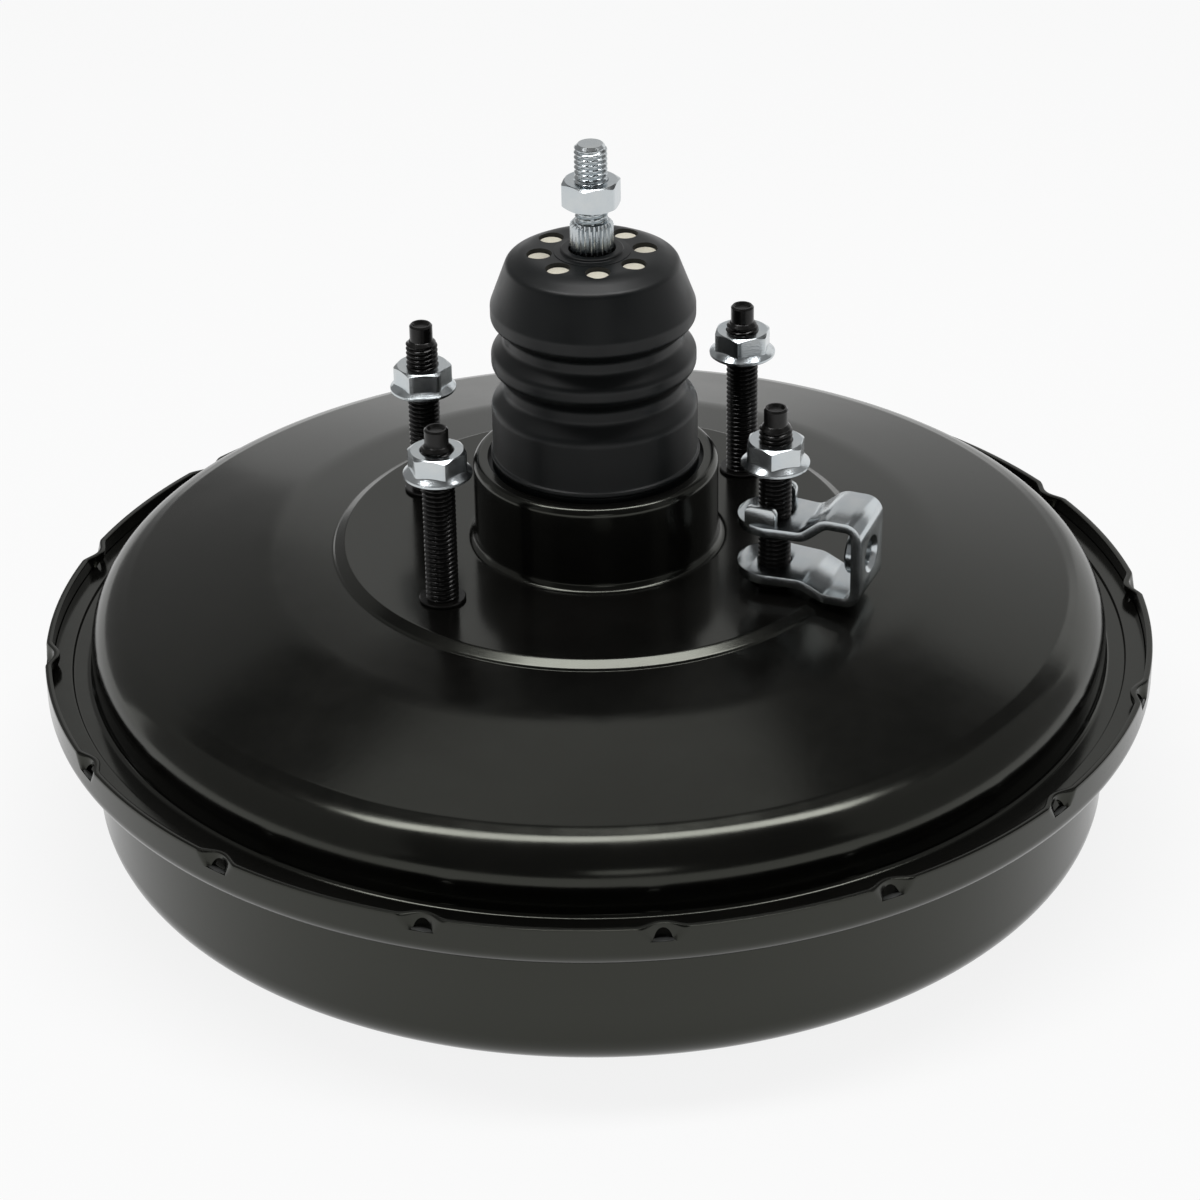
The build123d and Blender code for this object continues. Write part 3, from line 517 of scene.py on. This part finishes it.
port_ring_radius, port_angle = 92.0, radians(60)
port_place = (port_ring_radius * cos(port_angle), port_ring_radius * sin(port_angle))
pocket_radius, pocket_depth, port_hole_radius = 15.0, 4.5, 10.5
cut_top = 6.4                # just above the pocket's floor
pocket_cut = [(0, -1), (pocket_radius, -1), (pocket_radius, cut_top), (0, cut_top)]
subtract(front_shell, spin_solid(pocket_cut, 64, port_place))
pocket_corners = [
    (pocket_radius + sheet, 0.02), (pocket_radius, 0.02),
    (pocket_radius, pocket_depth), (port_hole_radius, pocket_depth),
]
pocket = sheet_outline(pocket_corners, [0.6, 0.6], -sheet)
port_cup = mesh_piece("vacuum_port_cup", *spin_solid(pocket, 96, port_place), "shell_paint", "housing")
finish_piece(front_shell, "shell_paint", "housing")
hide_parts("front_shell")

# %% [markdown]
# The rear shell is the dome that faces the firewall. From the middle outwards it has the neck that
# guides the piston, the flat face with the four studs, a small step, the long slope, the rounded
# shoulder and the short wall down into the crimped rim.

# %% Rear shell
rear_wall_radius = 127.3
plateau = 71.5
neck_radius = 30.3
neck_top = 93.4
neck_mouth = 26.7
dome_corners = [
    (neck_mouth, neck_top), (neck_radius, neck_top), (neck_radius, plateau),
    (63.0, plateau), (65.4, plateau - 1.25), (65.9, plateau - 1.75), (84.0, plateau - 4.1),
    (117.5, plateau - 11.55), (rear_wall_radius, plateau - 15.12), (rear_wall_radius, flange_top - 0.7),
    (132.2, flange_top - 0.7), (132.5, flange_top), (137.2, flange_top),
]
dome_bends = [1.9, 2.0, 1.0, 0.3, 0.4, 60.0, 7.0, 11.0, 1.4, 0.15, 0.15]
dome_outline = sheet_outline(dome_corners, dome_bends, -sheet)
rear_shell = mesh_piece(
    "rear_shell_dome", *spin_solid(dome_outline, shell_segments), "shell_paint", "housing"
)
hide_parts("rear_shell")
print("rear shell faces:", len(rear_shell.data.polygons))

# %% [markdown]
# A thread is a helix. Sweeping one leaves awkward ends, so a threaded rod is made here as a plain grid of
# rings at fixed heights, fine enough to follow the thread, whose radius at each point is looked up from
# the thread's profile. Both ends are then ordinary flat rings and the mesh is closed.

# %% Threaded rods
m8_pitch = 1.25
m8_crest = 4.0
m8_root = 3.32


def thread_radius(share):
    """Radius at a share of the pitch: a flat root, two straight flanks and a narrow crest."""
    share %= 1.0
    if share < 0.12:
        return m8_root
    if share < 0.44:
        return m8_root + (m8_crest - m8_root) * (share - 0.12) / 0.32
    if share < 0.56:
        return m8_crest
    if share < 0.88:
        return m8_crest - (m8_crest - m8_root) * (share - 0.56) / 0.32
    return m8_root


def threaded_rod(bottom, top, place, below, above, head, segments=40, rows=10):
    """Outline points below and above, as (radius, height), joined by a thread whose upper end tapers."""
    count = int(ceil((top - bottom) / m8_pitch * rows))
    heights = [bottom + (top - bottom) * i / count for i in range(count + 1)]
    rings = [("plain", r, z) for r, z in below] + [("thread", 0, z) for z in heights]
    rings += [("plain", r, z) for r, z in above]
    vertices, faces, index = [], [], []
    for kind, r, z in rings:
        if kind == "plain" and r < 1e-6:
            index.append([len(vertices)] * segments)
            vertices.append((place[0], place[1], z))
            continue
        index.append(list(range(len(vertices), len(vertices) + segments)))
        for k in range(segments):
            angle = 2 * pi * k / segments
            reach = r
            if kind == "thread":
                reach = thread_radius((z - bottom) / m8_pitch - k / segments)
                reach = min(reach, m8_crest - head + (top - z))
            vertices.append((place[0] + reach * cos(angle), place[1] + reach * sin(angle), z))
    for i in range(len(rings) - 1):
        low, high = index[i], index[i + 1]
        for k in range(segments):
            n = (k + 1) % segments
            unique = list(dict.fromkeys([low[k], low[n], high[n], high[k]]))
            if len(unique) > 2:
                faces.append(unique)
    return vertices, faces


# %% [markdown]
# Each firewall stud stands on a small round collar. It is threaded from there to the top and ends in a
# plain dog point with a dished face, which guides the nut on.

# %% Firewall studs
stud_x, stud_y = 40.5, 29.0
collar_top = plateau + 0.9
thread_end = plateau + 41.8
point_radius = 2.9
point_top = thread_end + 4.4
stud_head = [(0, 64.9), (8.0, 64.9), (8.0, 67.4), (4.6, 67.4), (4.6, plateau - 0.1)]
stud_collar = [
    (5.4, plateau - 0.1), (5.7, plateau + 0.2),
    (5.7, collar_top - 0.25), (5.45, collar_top), (3.5, collar_top),
]
dog_point = [
    (point_radius, thread_end + 0.15), (point_radius, point_top - 0.45), (point_radius - 0.4, point_top),
    (point_radius - 0.75, point_top), (point_radius - 1.3, point_top - 0.7), (0, point_top - 0.9),
]


def firewall_stud(x, y):
    return threaded_rod(collar_top, thread_end, (x, y), stud_head + stud_collar, dog_point, head=0.9)


places = [(sx * stud_x, sy * stud_y) for sx in (-1, 1) for sy in (-1, 1)]
studs = mesh_piece(
    "firewall_studs_threaded", *join(*[firewall_stud(x, y) for x, y in places]),
    "black_oxide", "housing", 40.0,
)
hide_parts("firewall_studs")
print("stud faces:", len(studs.data.polygons))

# %% [markdown]
# A nut's look comes from how it is turned: a cone cuts the hexagon's corners at both ends, which leaves
# the curved bevel line on every flat. The outline is worked out for each direction: the radius of the
# hexagon there, and the height at which the cone meets it.

# %% Nuts
flat = 13.0 / 2              # from the axis to a side of the hexagon
bevel_radius = flat * 0.97   # where the cone that cuts the corners starts
bevel_slope = tan(radians(30))
corner_round = 0.18
nut_bore = 3.45
countersink = 0.75
flange_radius = 8.3
flange_rim = 1.1
flange_rise = 1.0


def hexagon_radius(angle):
    """Distance from the axis to the hexagon's side in that direction."""
    share = (angle + pi / 6) % (pi / 3) - pi / 6
    return flat / cos(share)


def flange_ring(corner):
    """The turned flange's outline, from the foot of one side or corner of the hexagon outwards."""
    foot = flange_rim + flange_rise - (corner - flat) * 0.4
    return [
        (corner, foot), (corner + 0.25, foot - 0.25), (flange_radius - 0.35, flange_rim),
        (flange_radius, flange_rim - 0.3), (flange_radius, 0.25), (flange_radius - 0.3, 0.0),
    ]


def nut_solid(bottom, height, place, turn, flanged=False):
    """A hexagon nut with bevelled corners, a countersunk bore and, if it has one, a turned flange."""
    per_side = 12
    angles = []
    for side in range(6):
        for k in range(per_side):
            angles.append(pi / 6 + side * pi / 3 + pi / 3 * k / per_side)
    vertices, faces = [], []
    size = 0
    for angle in angles:
        corner = min(hexagon_radius(angle), flat / cos(pi / 6) - corner_round)
        drop = (corner - bevel_radius) * bevel_slope
        ring = [(nut_bore + countersink, height), (bevel_radius, height), (corner, height - drop)]
        ring += flange_ring(corner) if flanged else [(corner, drop), (bevel_radius, 0)]
        ring += [(nut_bore + countersink, 0), (nut_bore, countersink), (nut_bore, height - countersink)]
        size = len(ring)
        direction = angle + radians(turn)
        vertices += [
            (place[0] + r * cos(direction), place[1] + r * sin(direction), bottom + z) for r, z in ring
        ]
    columns = len(angles)
    for c in range(columns):
        n = (c + 1) % columns
        for k in range(size):
            m = (k + 1) % size
            faces.append([c * size + k, n * size + k, n * size + m, c * size + m])
    return vertices, faces


nut_height, lock_nut_height = 6.7, 6.5
lock_nut_seat, lock_nut_turn = 159.9, 40.0
# side of the booster in x and y, height of the nut's foot and turn of its hexagon in degrees
nut_seats = [(-1, -1, 105.3, 11.0), (1, -1, 102.5, 44.0), (1, 1, 104.4, 43.0), (-1, 1, 99.8, 29.0)]
nuts = mesh_piece(
    "firewall_nuts_bevelled",
    *join(*[
        nut_solid(seat, nut_height, (x * stud_x, y * stud_y), turn, flanged=True)
        for x, y, seat, turn in nut_seats
    ]),
    "zinc", "housing", 24.0,
)
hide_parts("firewall_nuts")
lock_nut = mesh_piece(
    "lock_nut_bevelled", *nut_solid(lock_nut_seat, lock_nut_height, (0, 0), lock_nut_turn),
    "zinc", "pedal_rod", 24.0,
)
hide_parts("lock_nut")

# %% [markdown]
# The pedal rod is a turned bar: a ball at the bottom, a plain shank, a splined grip for the spanner and
# the threaded end. Its splines are a gear-like outline, with both ends chamfered.

# %% Pedal rod
spline_teeth = 24
spline_radius = 5.25
spline_root = 4.35
spline_bottom, spline_top = 142.0, 156.0
rod_tip = 175.6


def spline_solid():
    """The splined length, tapered at both ends."""
    shape = [(0.0, 0), (0.3, 0), (0.44, 1), (0.62, 1), (0.76, 0)]
    rings = [
        (spline_bottom, -1.0), (spline_bottom + 1.0, 0.0), (spline_top - 0.9, 0.0), (spline_top, -0.9),
    ]
    vertices, faces = [], []
    columns = spline_teeth * (len(shape) - 1)
    for z, less in rings:
        for tooth in range(spline_teeth):
            for share, full in shape[:-1]:
                angle = 2 * pi * (tooth + share) / spline_teeth
                r = spline_radius if full else spline_root
                r = min(r, spline_radius + less)
                vertices.append((r * cos(angle), r * sin(angle), z))
    for i in range(len(rings) - 1):
        for k in range(columns):
            n = (k + 1) % columns
            faces.append([i * columns + k, i * columns + n, (i + 1) * columns + n, (i + 1) * columns + k])
    faces.append(list(range(columns))[::-1])
    faces.append([(len(rings) - 1) * columns + k for k in range(columns)])
    return vertices, faces


ball_height, ball_radius = 82.0, 4.2
ball = [
    (ball_radius * sin(radians(a)), ball_height - ball_radius * cos(radians(a))) for a in range(0, 136, 9)
]
shank = ball + [(2.9, 92.0), (4.0, 94.0), (4.0, 140.8), (4.7, 142.5), (0, 142.5)]
rod_thread = threaded_rod(
    spline_top, rod_tip, (0, 0), [(0, 155.5), (3.5, 155.5), (3.5, 155.9)],
    [(2.6, rod_tip), (0, rod_tip)], head=1.0,
)
pedal_rod = mesh_piece(
    "pedal_rod_turned", *join(spin_solid(shank, 48), spline_solid(), rod_thread),
    "zinc", "pedal_rod", 35.0,
)
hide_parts("input_rod")

# %% [markdown]
# Two coil springs close up when the slides move: the piston's return spring and the valve's outer
# spring. Here each only gets a mesh of its own; it keeps one shape and does not close up.


def squeeze_spring(node_name):
    """Gives a coil spring a mesh of its own; it does not close up."""
    spring = frame["nodes"][node_name]
    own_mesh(spring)


squeeze_spring("return_spring")
squeeze_spring("rod_return_spring")

# %% [markdown]
# The boot is the part that folds when the pedal is pressed. It is one soft moulding, but here it is kept
# as three pieces: the cuff stays in the shell's neck, the folds stay with the shell too and do not
# shorten, and the lip round the rod goes with the rod.

# %% Boot's folds
boot_wall = 1.5
cuff_radius = 25.2
cuff_foot, cuff_top = 86.3, 97.4
boot_top = 148.0
crown_hole = 8.75            # wide enough for the splines when the rod tilts
breather_ring = 12.75        # from the axis to the middle of a breather hole
breather_radius = 3.05
breather_places = [
    (breather_ring * cos(radians(bearing)), breather_ring * sin(radians(bearing)))
    for bearing in range(-90, 270, 45)
]
fold_corners = [
    (cuff_radius, cuff_top), (25.25, 104.6), (25.3, 108.6), (22.2, 112.2), (22.2, 115.9), (25.0, 119.0),
    (25.0, 122.4), (21.9, 125.4), (21.9, 128.6), (24.95, 131.2), (24.95, 134.6), (20.9, 145.5),
    (16.0, boot_top), (crown_hole, boot_top),
]
fold_bends = [8.0, 3.0, 2.0, 2.0, 2.2, 2.2, 1.6, 1.6, 1.6, 2.2, 2.0, 8.0]
fold_outline = sheet_outline(fold_corners, fold_bends, boot_wall)
folds = mesh_piece("boot_folds", *spin_solid(fold_outline, 192), "boot_rubber", "housing", 50.0)
breather_cut = [(0, 140), (breather_radius, 140), (breather_radius, 152), (0, 152)]
subtract(folds, *[spin_solid(breather_cut, 40, place) for place in breather_places])
finish_piece(folds, "boot_rubber", "housing", 50.0)
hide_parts("boot")
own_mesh(folds)

# %% Boot's cuff and lip
cuff_corners = [
    (28.3, cuff_foot), (28.3, 91.5), (cuff_radius, 91.5), (cuff_radius, 94.2), (25.75, 94.6),
    (25.75, 95.4), (cuff_radius, 95.8), (cuff_radius, cuff_top), (cuff_radius - boot_wall, cuff_top),
    (cuff_radius - boot_wall, cuff_foot),
]
cuff_line, _ = bent_line(cuff_corners, [0.8, 0.4, 0.3, 0.25, 0.25, 0.3, 0, 0], support=0.2)
cuff = mesh_piece("boot_cuff", *spin_solid(cuff_line, 192), "boot_rubber", "housing", 50.0)
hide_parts("boot")
skirt = crown_hole + 0.55    # thin foot that lies on the crown and covers its hole
lip_hole, lip_radius = 5.6, 7.6
lip_foot, lip_top = boot_top - 0.05, boot_top + 0.9
lip_corners = [
    (lip_hole, lip_foot), (lip_hole, lip_top), (lip_radius, lip_top), (lip_radius, boot_top + 0.25),
    (skirt, boot_top + 0.12), (skirt, lip_foot),
]
lip_line, _ = bent_line(lip_corners, [0.4, 0.4, 0.3, 0.05], support=0.2)
lip = mesh_piece("boot_lip", *spin_solid(lip_line, 96), "boot_rubber", "pedal_rod", 50.0)
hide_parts("boot")

# %% [markdown]
# The filter's felt shows only through the boot's eight breather holes. The boot presses on the pad, so
# the soft felt swells a little way up into every hole.

# %% Felt filter
felt_pad = [
    (9.0, 139.9), (17.1, 139.9), (17.1, 145.6), (16.8, 145.9), (13.0, 146.15), (9.3, 145.9), (9.0, 145.6),
]
felt_bulge = [(0, 145.0), (3.0, 145.0), (3.0, 146.6), (2.75, 146.95), (1.8, 147.2), (0, 147.3)]
bulges = [spin_solid(felt_bulge, 32, place) for place in breather_places]
felt = mesh_piece("air_filter_felt", *join(spin_solid(felt_pad, 96), *bulges), "felt", "power_piston")
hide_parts("air_filter")

# %% [markdown]
# The fork is bent from one strip: the base carries the threaded boss, and the two straps step towards
# each other before their round ears. It is made flat along its own bent line, cut to shape and then
# drilled, and every cut edge gets a small round, as plated stampings have.

# %% Fork
fork_sheet = 2.4
fork_reach = 24.6
fork_width = 16.5
fork_height = 22.5
upper_step, lower_step = 4.6, 2.6    # how far each strap steps in towards its ear
step_start, step_end = 9.3, 14.8     # from the pin's axis
ear_radius = 9.0
ear_blend_start, ear_blend_end = 2.0, 8.0
pin_radius = 4.3
tap_radius = 3.45
tab_height = 4.8
tab_thickness = 1.9
fork_turn = -28.4
fork_floor = plateau + 0.2
ear_top = fork_height - upper_step


def fork_strip():
    """Vertices and faces of the bent strip with round ears, in the fork's own frame."""
    corners = [
        (-ear_radius, ear_top), (step_start, ear_top), (step_end, fork_height), (fork_reach, fork_height),
        (fork_reach, 0), (step_end, 0), (step_start, lower_step), (-ear_radius, lower_step),
    ]
    line, normals = bent_line(corners, [3.0, 5.0, 4.0, 4.0, 5.0, 3.0], support=0.3)
    dense, dense_normals = [], []
    for i in range(len(line) - 1):
        (ax, az), (bx, bz) = line[i], line[i + 1]
        in_ear = max(ax, bx) < step_start + 0.1
        pieces = max(1, int(hypot(bx - ax, bz - az) / 0.45)) if in_ear else 1
        for k in range(pieces):
            t = k / pieces
            dense.append((ax + (bx - ax) * t, az + (bz - az) * t))
            dense_normals.append(normals[i])
    dense.append(line[-1])
    dense_normals.append(normals[-1])
    vertices, faces = [], []
    for (x, z), (nx, nz) in zip(dense, dense_normals):
        half = fork_width / 2
        if x < ear_blend_start:
            half = sqrt(max(ear_radius ** 2 - x * x, 0.09))
        elif x < ear_blend_end:
            blend = (x - ear_blend_start) / (ear_blend_end - ear_blend_start)
            half = (1 - blend) * sqrt(ear_radius ** 2 - ear_blend_start ** 2) + blend * fork_width / 2
        for depth in (0.0, fork_sheet):
            for y in (-half, half):
                vertices.append((x - nx * depth, y, z - nz * depth))
    count = len(dense)
    for i in range(count - 1):
        a, b = 4 * i, 4 * (i + 1)
        faces += [[a, a + 1, b + 1, b], [a + 2, b + 2, b + 3, a + 3]]
        faces += [[a, b, b + 2, a + 2], [a + 1, a + 3, b + 3, b + 1]]
    faces += [[0, 2, 3, 1], [4 * count - 4, 4 * count - 3, 4 * count - 1, 4 * count - 2]]
    return vertices, faces


def along_x(solid, x, z):
    """A solid spun about the vertical, laid down so that its axis runs along x at height z."""
    vertices, faces = solid
    return [(x + vz, vy, z - vx) for vx, vy, vz in vertices], faces


fork = mesh_piece("rod_fork_strip", *fork_strip(), "zinc", "rod_clevis", 35.0)
middle = fork_height / 2
pin_cut = [(0, -5), (pin_radius, -5), (pin_radius, fork_height + 5), (0, fork_height + 5)]
countersink_cut = [(0, -5), (3.6, -5), (3.6, -1.1), (4.7, 0.05), (4.7, 5), (0, 5)]
subtract(fork, spin_solid(pin_cut, 64), along_x(spin_solid(countersink_cut, 64), fork_reach, middle))
print("fork faces:", len(fork.data.polygons))

# %% Fork's boss and tabs
def boss_solid():
    """The threaded boss and the countersink, about the thread's axis; height 0 is the base's outside."""
    inner_end = -(fork_sheet + 2.7)
    outline = [
        (tap_radius, inner_end + 0.5), (4.0, inner_end), (5.1, inner_end), (5.6, inner_end + 0.5),
        (5.7, -fork_sheet - 0.1), (5.0, -fork_sheet + 0.1), (3.55, -fork_sheet + 0.1),
        (3.5, -1.3), (3.3, -1.3), (3.3, -fork_sheet - 1.2),
    ]
    return spin_solid(outline, 64)


def tab_solid(side):
    """One of the bent-up ears' tabs, with rounded upper corners."""
    top = ear_top + tab_height
    bottom = ear_top - 0.6
    outline = [
        (-4.9, bottom), (-4.9, top - 1.6), (-4.4, top - 0.6), (-3.4, top),
        (1.6, top), (2.5, top - 0.5), (3.0, top - 1.4), (3.0, bottom),
    ]
    outer = side * (fork_width / 2)
    inner = side * (fork_width / 2 - tab_thickness)
    vertices = [(x, outer, z) for x, z in outline] + [(x, inner, z) for x, z in outline]
    n = len(outline)
    faces = [list(range(n)), list(range(2 * n - 1, n - 1, -1))]
    faces += [[k, (k + 1) % n, n + (k + 1) % n, n + k] for k in range(n)]
    return vertices, faces


def set_fork(piece):
    """Moves a piece of the fork from its own frame to where it hangs on the stud."""
    place = Matrix.Translation(Vector((stud_x, -stud_y, fork_floor)) * mm)
    piece.data.transform(place @ Matrix.Rotation(radians(fork_turn), 4, "Z"))


def round_edges(piece, width):
    """A small bevel on the edges sharper than 40 degrees, applied to the mesh."""
    change = piece.modifiers.new("round", "BEVEL")
    change.width = width * mm
    change.segments = 2
    change.limit_method = "ANGLE"
    change.angle_limit = radians(40)
    apply_change(piece)
    finish_piece(piece, "zinc", "rod_clevis", 35.0)


round_edges(fork, 0.22)
boss = mesh_piece("rod_fork_boss", *along_x(boss_solid(), fork_reach, middle), "zinc", "rod_clevis", 35.0)
tabs = mesh_piece("rod_fork_tabs", *join(tab_solid(-1), tab_solid(1)), "zinc", "rod_clevis", 35.0)
round_edges(tabs, 0.25)
for piece in (fork, boss, tabs):
    set_fork(piece)
    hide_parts("clevis")

# %% [markdown]
# Studio. The object stands on a white sweep under a wide soft light, with a weak one in front. A glossy
# black part shows little but reflections, so its shape is drawn by what stands round it: white air, the
# light overhead, and grey and black cards that leave dark bands between the bright ones.

# %% Floor
def seen_rays(tree):
    """1 for what the camera sees, directly, mirrored or through something clear, and 0 for light."""
    rays = tree.nodes.new("ShaderNodeLightPath")
    shown = add_node(
        tree, "ShaderNodeMath", [(0, rays.outputs["Is Camera Ray"]), (1, rays.outputs["Is Glossy Ray"])],
        operation="MAXIMUM",
    )
    clear = add_node(
        tree, "ShaderNodeMath", [(0, shown.outputs[0]), (1, rays.outputs["Is Transmission Ray"])],
        operation="MAXIMUM",
    )
    return clear.outputs[0]


floor_whiteness = 0.86       # the rest shows the object's shadow
bpy.ops.mesh.primitive_plane_add(size=8.0, location=(0, 0, 0))
floor = bpy.context.object
floor.name = "studio_floor"
floor_material, floor_tree, floor_shader, _ = new_material("matte_white_card", "f2f2f2", 0.9)
floor_glow = add_node(floor_tree, "ShaderNodeEmission", Strength=1.0)
floor_share = add_node(floor_tree, "ShaderNodeMath", [(0, seen_rays(floor_tree))], operation="MULTIPLY")
floor_share.inputs[1].default_value = floor_whiteness
floor_mix = add_node(
    floor_tree, "ShaderNodeMixShader", [
        ("Fac", floor_share.outputs[0]),
        (1, floor_shader.outputs["BSDF"]), (2, floor_glow.outputs["Emission"]),
    ],
)
floor_tree.links.new(floor_mix.outputs["Shader"], floor_tree.nodes["Material Output"].inputs["Surface"])
floor.data.materials.append(floor_material)

# %% World
world = bpy.data.worlds.new("studio_air")
bpy.context.scene.world = world
world.use_nodes = True
air = world.node_tree
air.nodes.clear()
seen = add_node(air, "ShaderNodeBackground", Strength=1.0)
seen.inputs["Color"].default_value = colour("ffffff")
fill = add_node(air, "ShaderNodeBackground", Strength=0.3)
fill.inputs["Color"].default_value = colour("f6f8fa")
mix = add_node(
    air, "ShaderNodeMixShader",
    [("Fac", seen_rays(air)), (1, fill.outputs["Background"]), (2, seen.outputs["Background"])],
)
add_node(air, "ShaderNodeOutputWorld", [("Surface", mix.outputs["Shader"])])

# %% Light
def facing(place, aim):
    """Rotation that turns an object at one point to face another."""
    return (Vector(aim) - Vector(place)).to_track_quat("-Z", "Y").to_euler()


def softbox(name, place, aim, width, height, watts):
    """A rectangular soft light; place and aim are in metres."""
    lamp = bpy.data.lights.new(name, "AREA")
    lamp.shape = "RECTANGLE"
    lamp.size = width
    lamp.size_y = height
    lamp.energy = watts
    holder = bpy.data.objects.new(name, lamp)
    holder.location = place
    holder.rotation_euler = facing(place, aim)
    bpy.context.scene.collection.objects.link(holder)


softbox("overhead_softbox", (0.0, 0.03, 1.2), (0, 0, 0.05), 1.3, 0.22, 9.5)
softbox("front_strip", (0.0, -1.3, 0.42), (0, 0, 0.12), 0.34, 0.2, 0.3)

# %% Studio cards
card_aim = 0.06              # every card faces this height on the axis


def studio_card(name, bearing, low, high, distance, width, brightness):
    """A card between two elevations in degrees, 0 black and 1 white; it shows in reflections only."""
    middle = radians((low + high) / 2)
    tall = 2 * distance * tan(radians(high - low) / 2)
    turn = radians(bearing)
    reach = distance * cos(middle)
    place = (reach * sin(turn), -reach * cos(turn), distance * sin(middle) + card_aim)
    bpy.ops.mesh.primitive_plane_add(size=1.0, location=place)
    card = bpy.context.object
    card.name = name
    card.scale = (width, tall, 1.0)
    card.rotation_euler = facing(place, (0, 0, card_aim))
    material = bpy.data.materials.new(name + "_felt")
    material.use_nodes = True
    tree = material.node_tree
    tree.nodes.clear()
    glow = add_node(tree, "ShaderNodeEmission", Strength=brightness)
    glow.inputs["Color"].default_value = colour("ffffff")
    add_node(tree, "ShaderNodeOutputMaterial", [("Surface", glow.outputs["Emission"])])
    card.data.materials.append(material)
    card.visible_camera = False
    card.visible_diffuse = False
    card.visible_shadow = False


studio_card("front_card", 0, 3, 86, 1.5, 4.6, 0.08)
studio_card("ceiling_card", 180, 64, 96, 1.5, 3.4, 0.1)
studio_card("back_wall", 168, 4, 41, 1.6, 1.3, 0.62)
studio_card("back_left_wall", 212, 4, 41, 1.6, 1.5, 0.28)
studio_card("back_band", 180, 40, 65, 1.57, 3.6, 0.08)
studio_card("back_panel", 180, 54, 64, 1.54, 0.8, 0.75)
studio_card("left_card", -82, -2, 60, 1.7, 2.4, 0.25)
studio_card("right_card", 82, -2, 60, 1.7, 2.4, 0.3)

# %% [markdown]
# The camera: a long lens about 0.92 m from the point that it turns about, 28 degrees above the horizon
# and a few degrees to one side of the studs' narrow spacing, tilted and rolled by about a degree.

# %% Camera
camera_distance = 0.9244
camera_elevation = radians(28.48)
camera_azimuth = radians(-5.48)
camera_tilt = radians(-0.98)
camera_pan = radians(0.03)
camera_roll = radians(-0.98)
camera_lens = 110.95
aim_height = 0.070

away = Vector((0, -cos(camera_elevation), sin(camera_elevation))) * camera_distance
forward = -away.normalized()
right = Vector((1, 0, 0))
up = right.cross(forward)
forward, up = (
    forward * cos(camera_tilt) + up * sin(camera_tilt),
    -forward * sin(camera_tilt) + up * cos(camera_tilt),
)
forward, right = (
    forward * cos(camera_pan) + right * sin(camera_pan),
    -forward * sin(camera_pan) + right * cos(camera_pan),
)
right, up = (
    right * cos(camera_roll) + up * sin(camera_roll),
    up * cos(camera_roll) - right * sin(camera_roll),
)
turn = Matrix.Rotation(camera_azimuth, 4, "Z")
pose = Matrix((right, up, -forward)).transposed().to_4x4()
pose.translation = away
lens = bpy.data.cameras.new("camera")
lens.lens = camera_lens
lens.sensor_width = 36.0
lens.sensor_fit = "HORIZONTAL"
lens.clip_start = 0.05
camera = bpy.data.objects.new("camera", lens)
camera.matrix_world = Matrix.Translation((0, 0, aim_height)) @ turn @ pose
bpy.context.scene.collection.objects.link(camera)
bpy.context.scene.camera = camera
bpy.context.scene.view_settings.view_transform = "Standard"
print("camera at", [round(v, 3) for v in camera.matrix_world.translation])
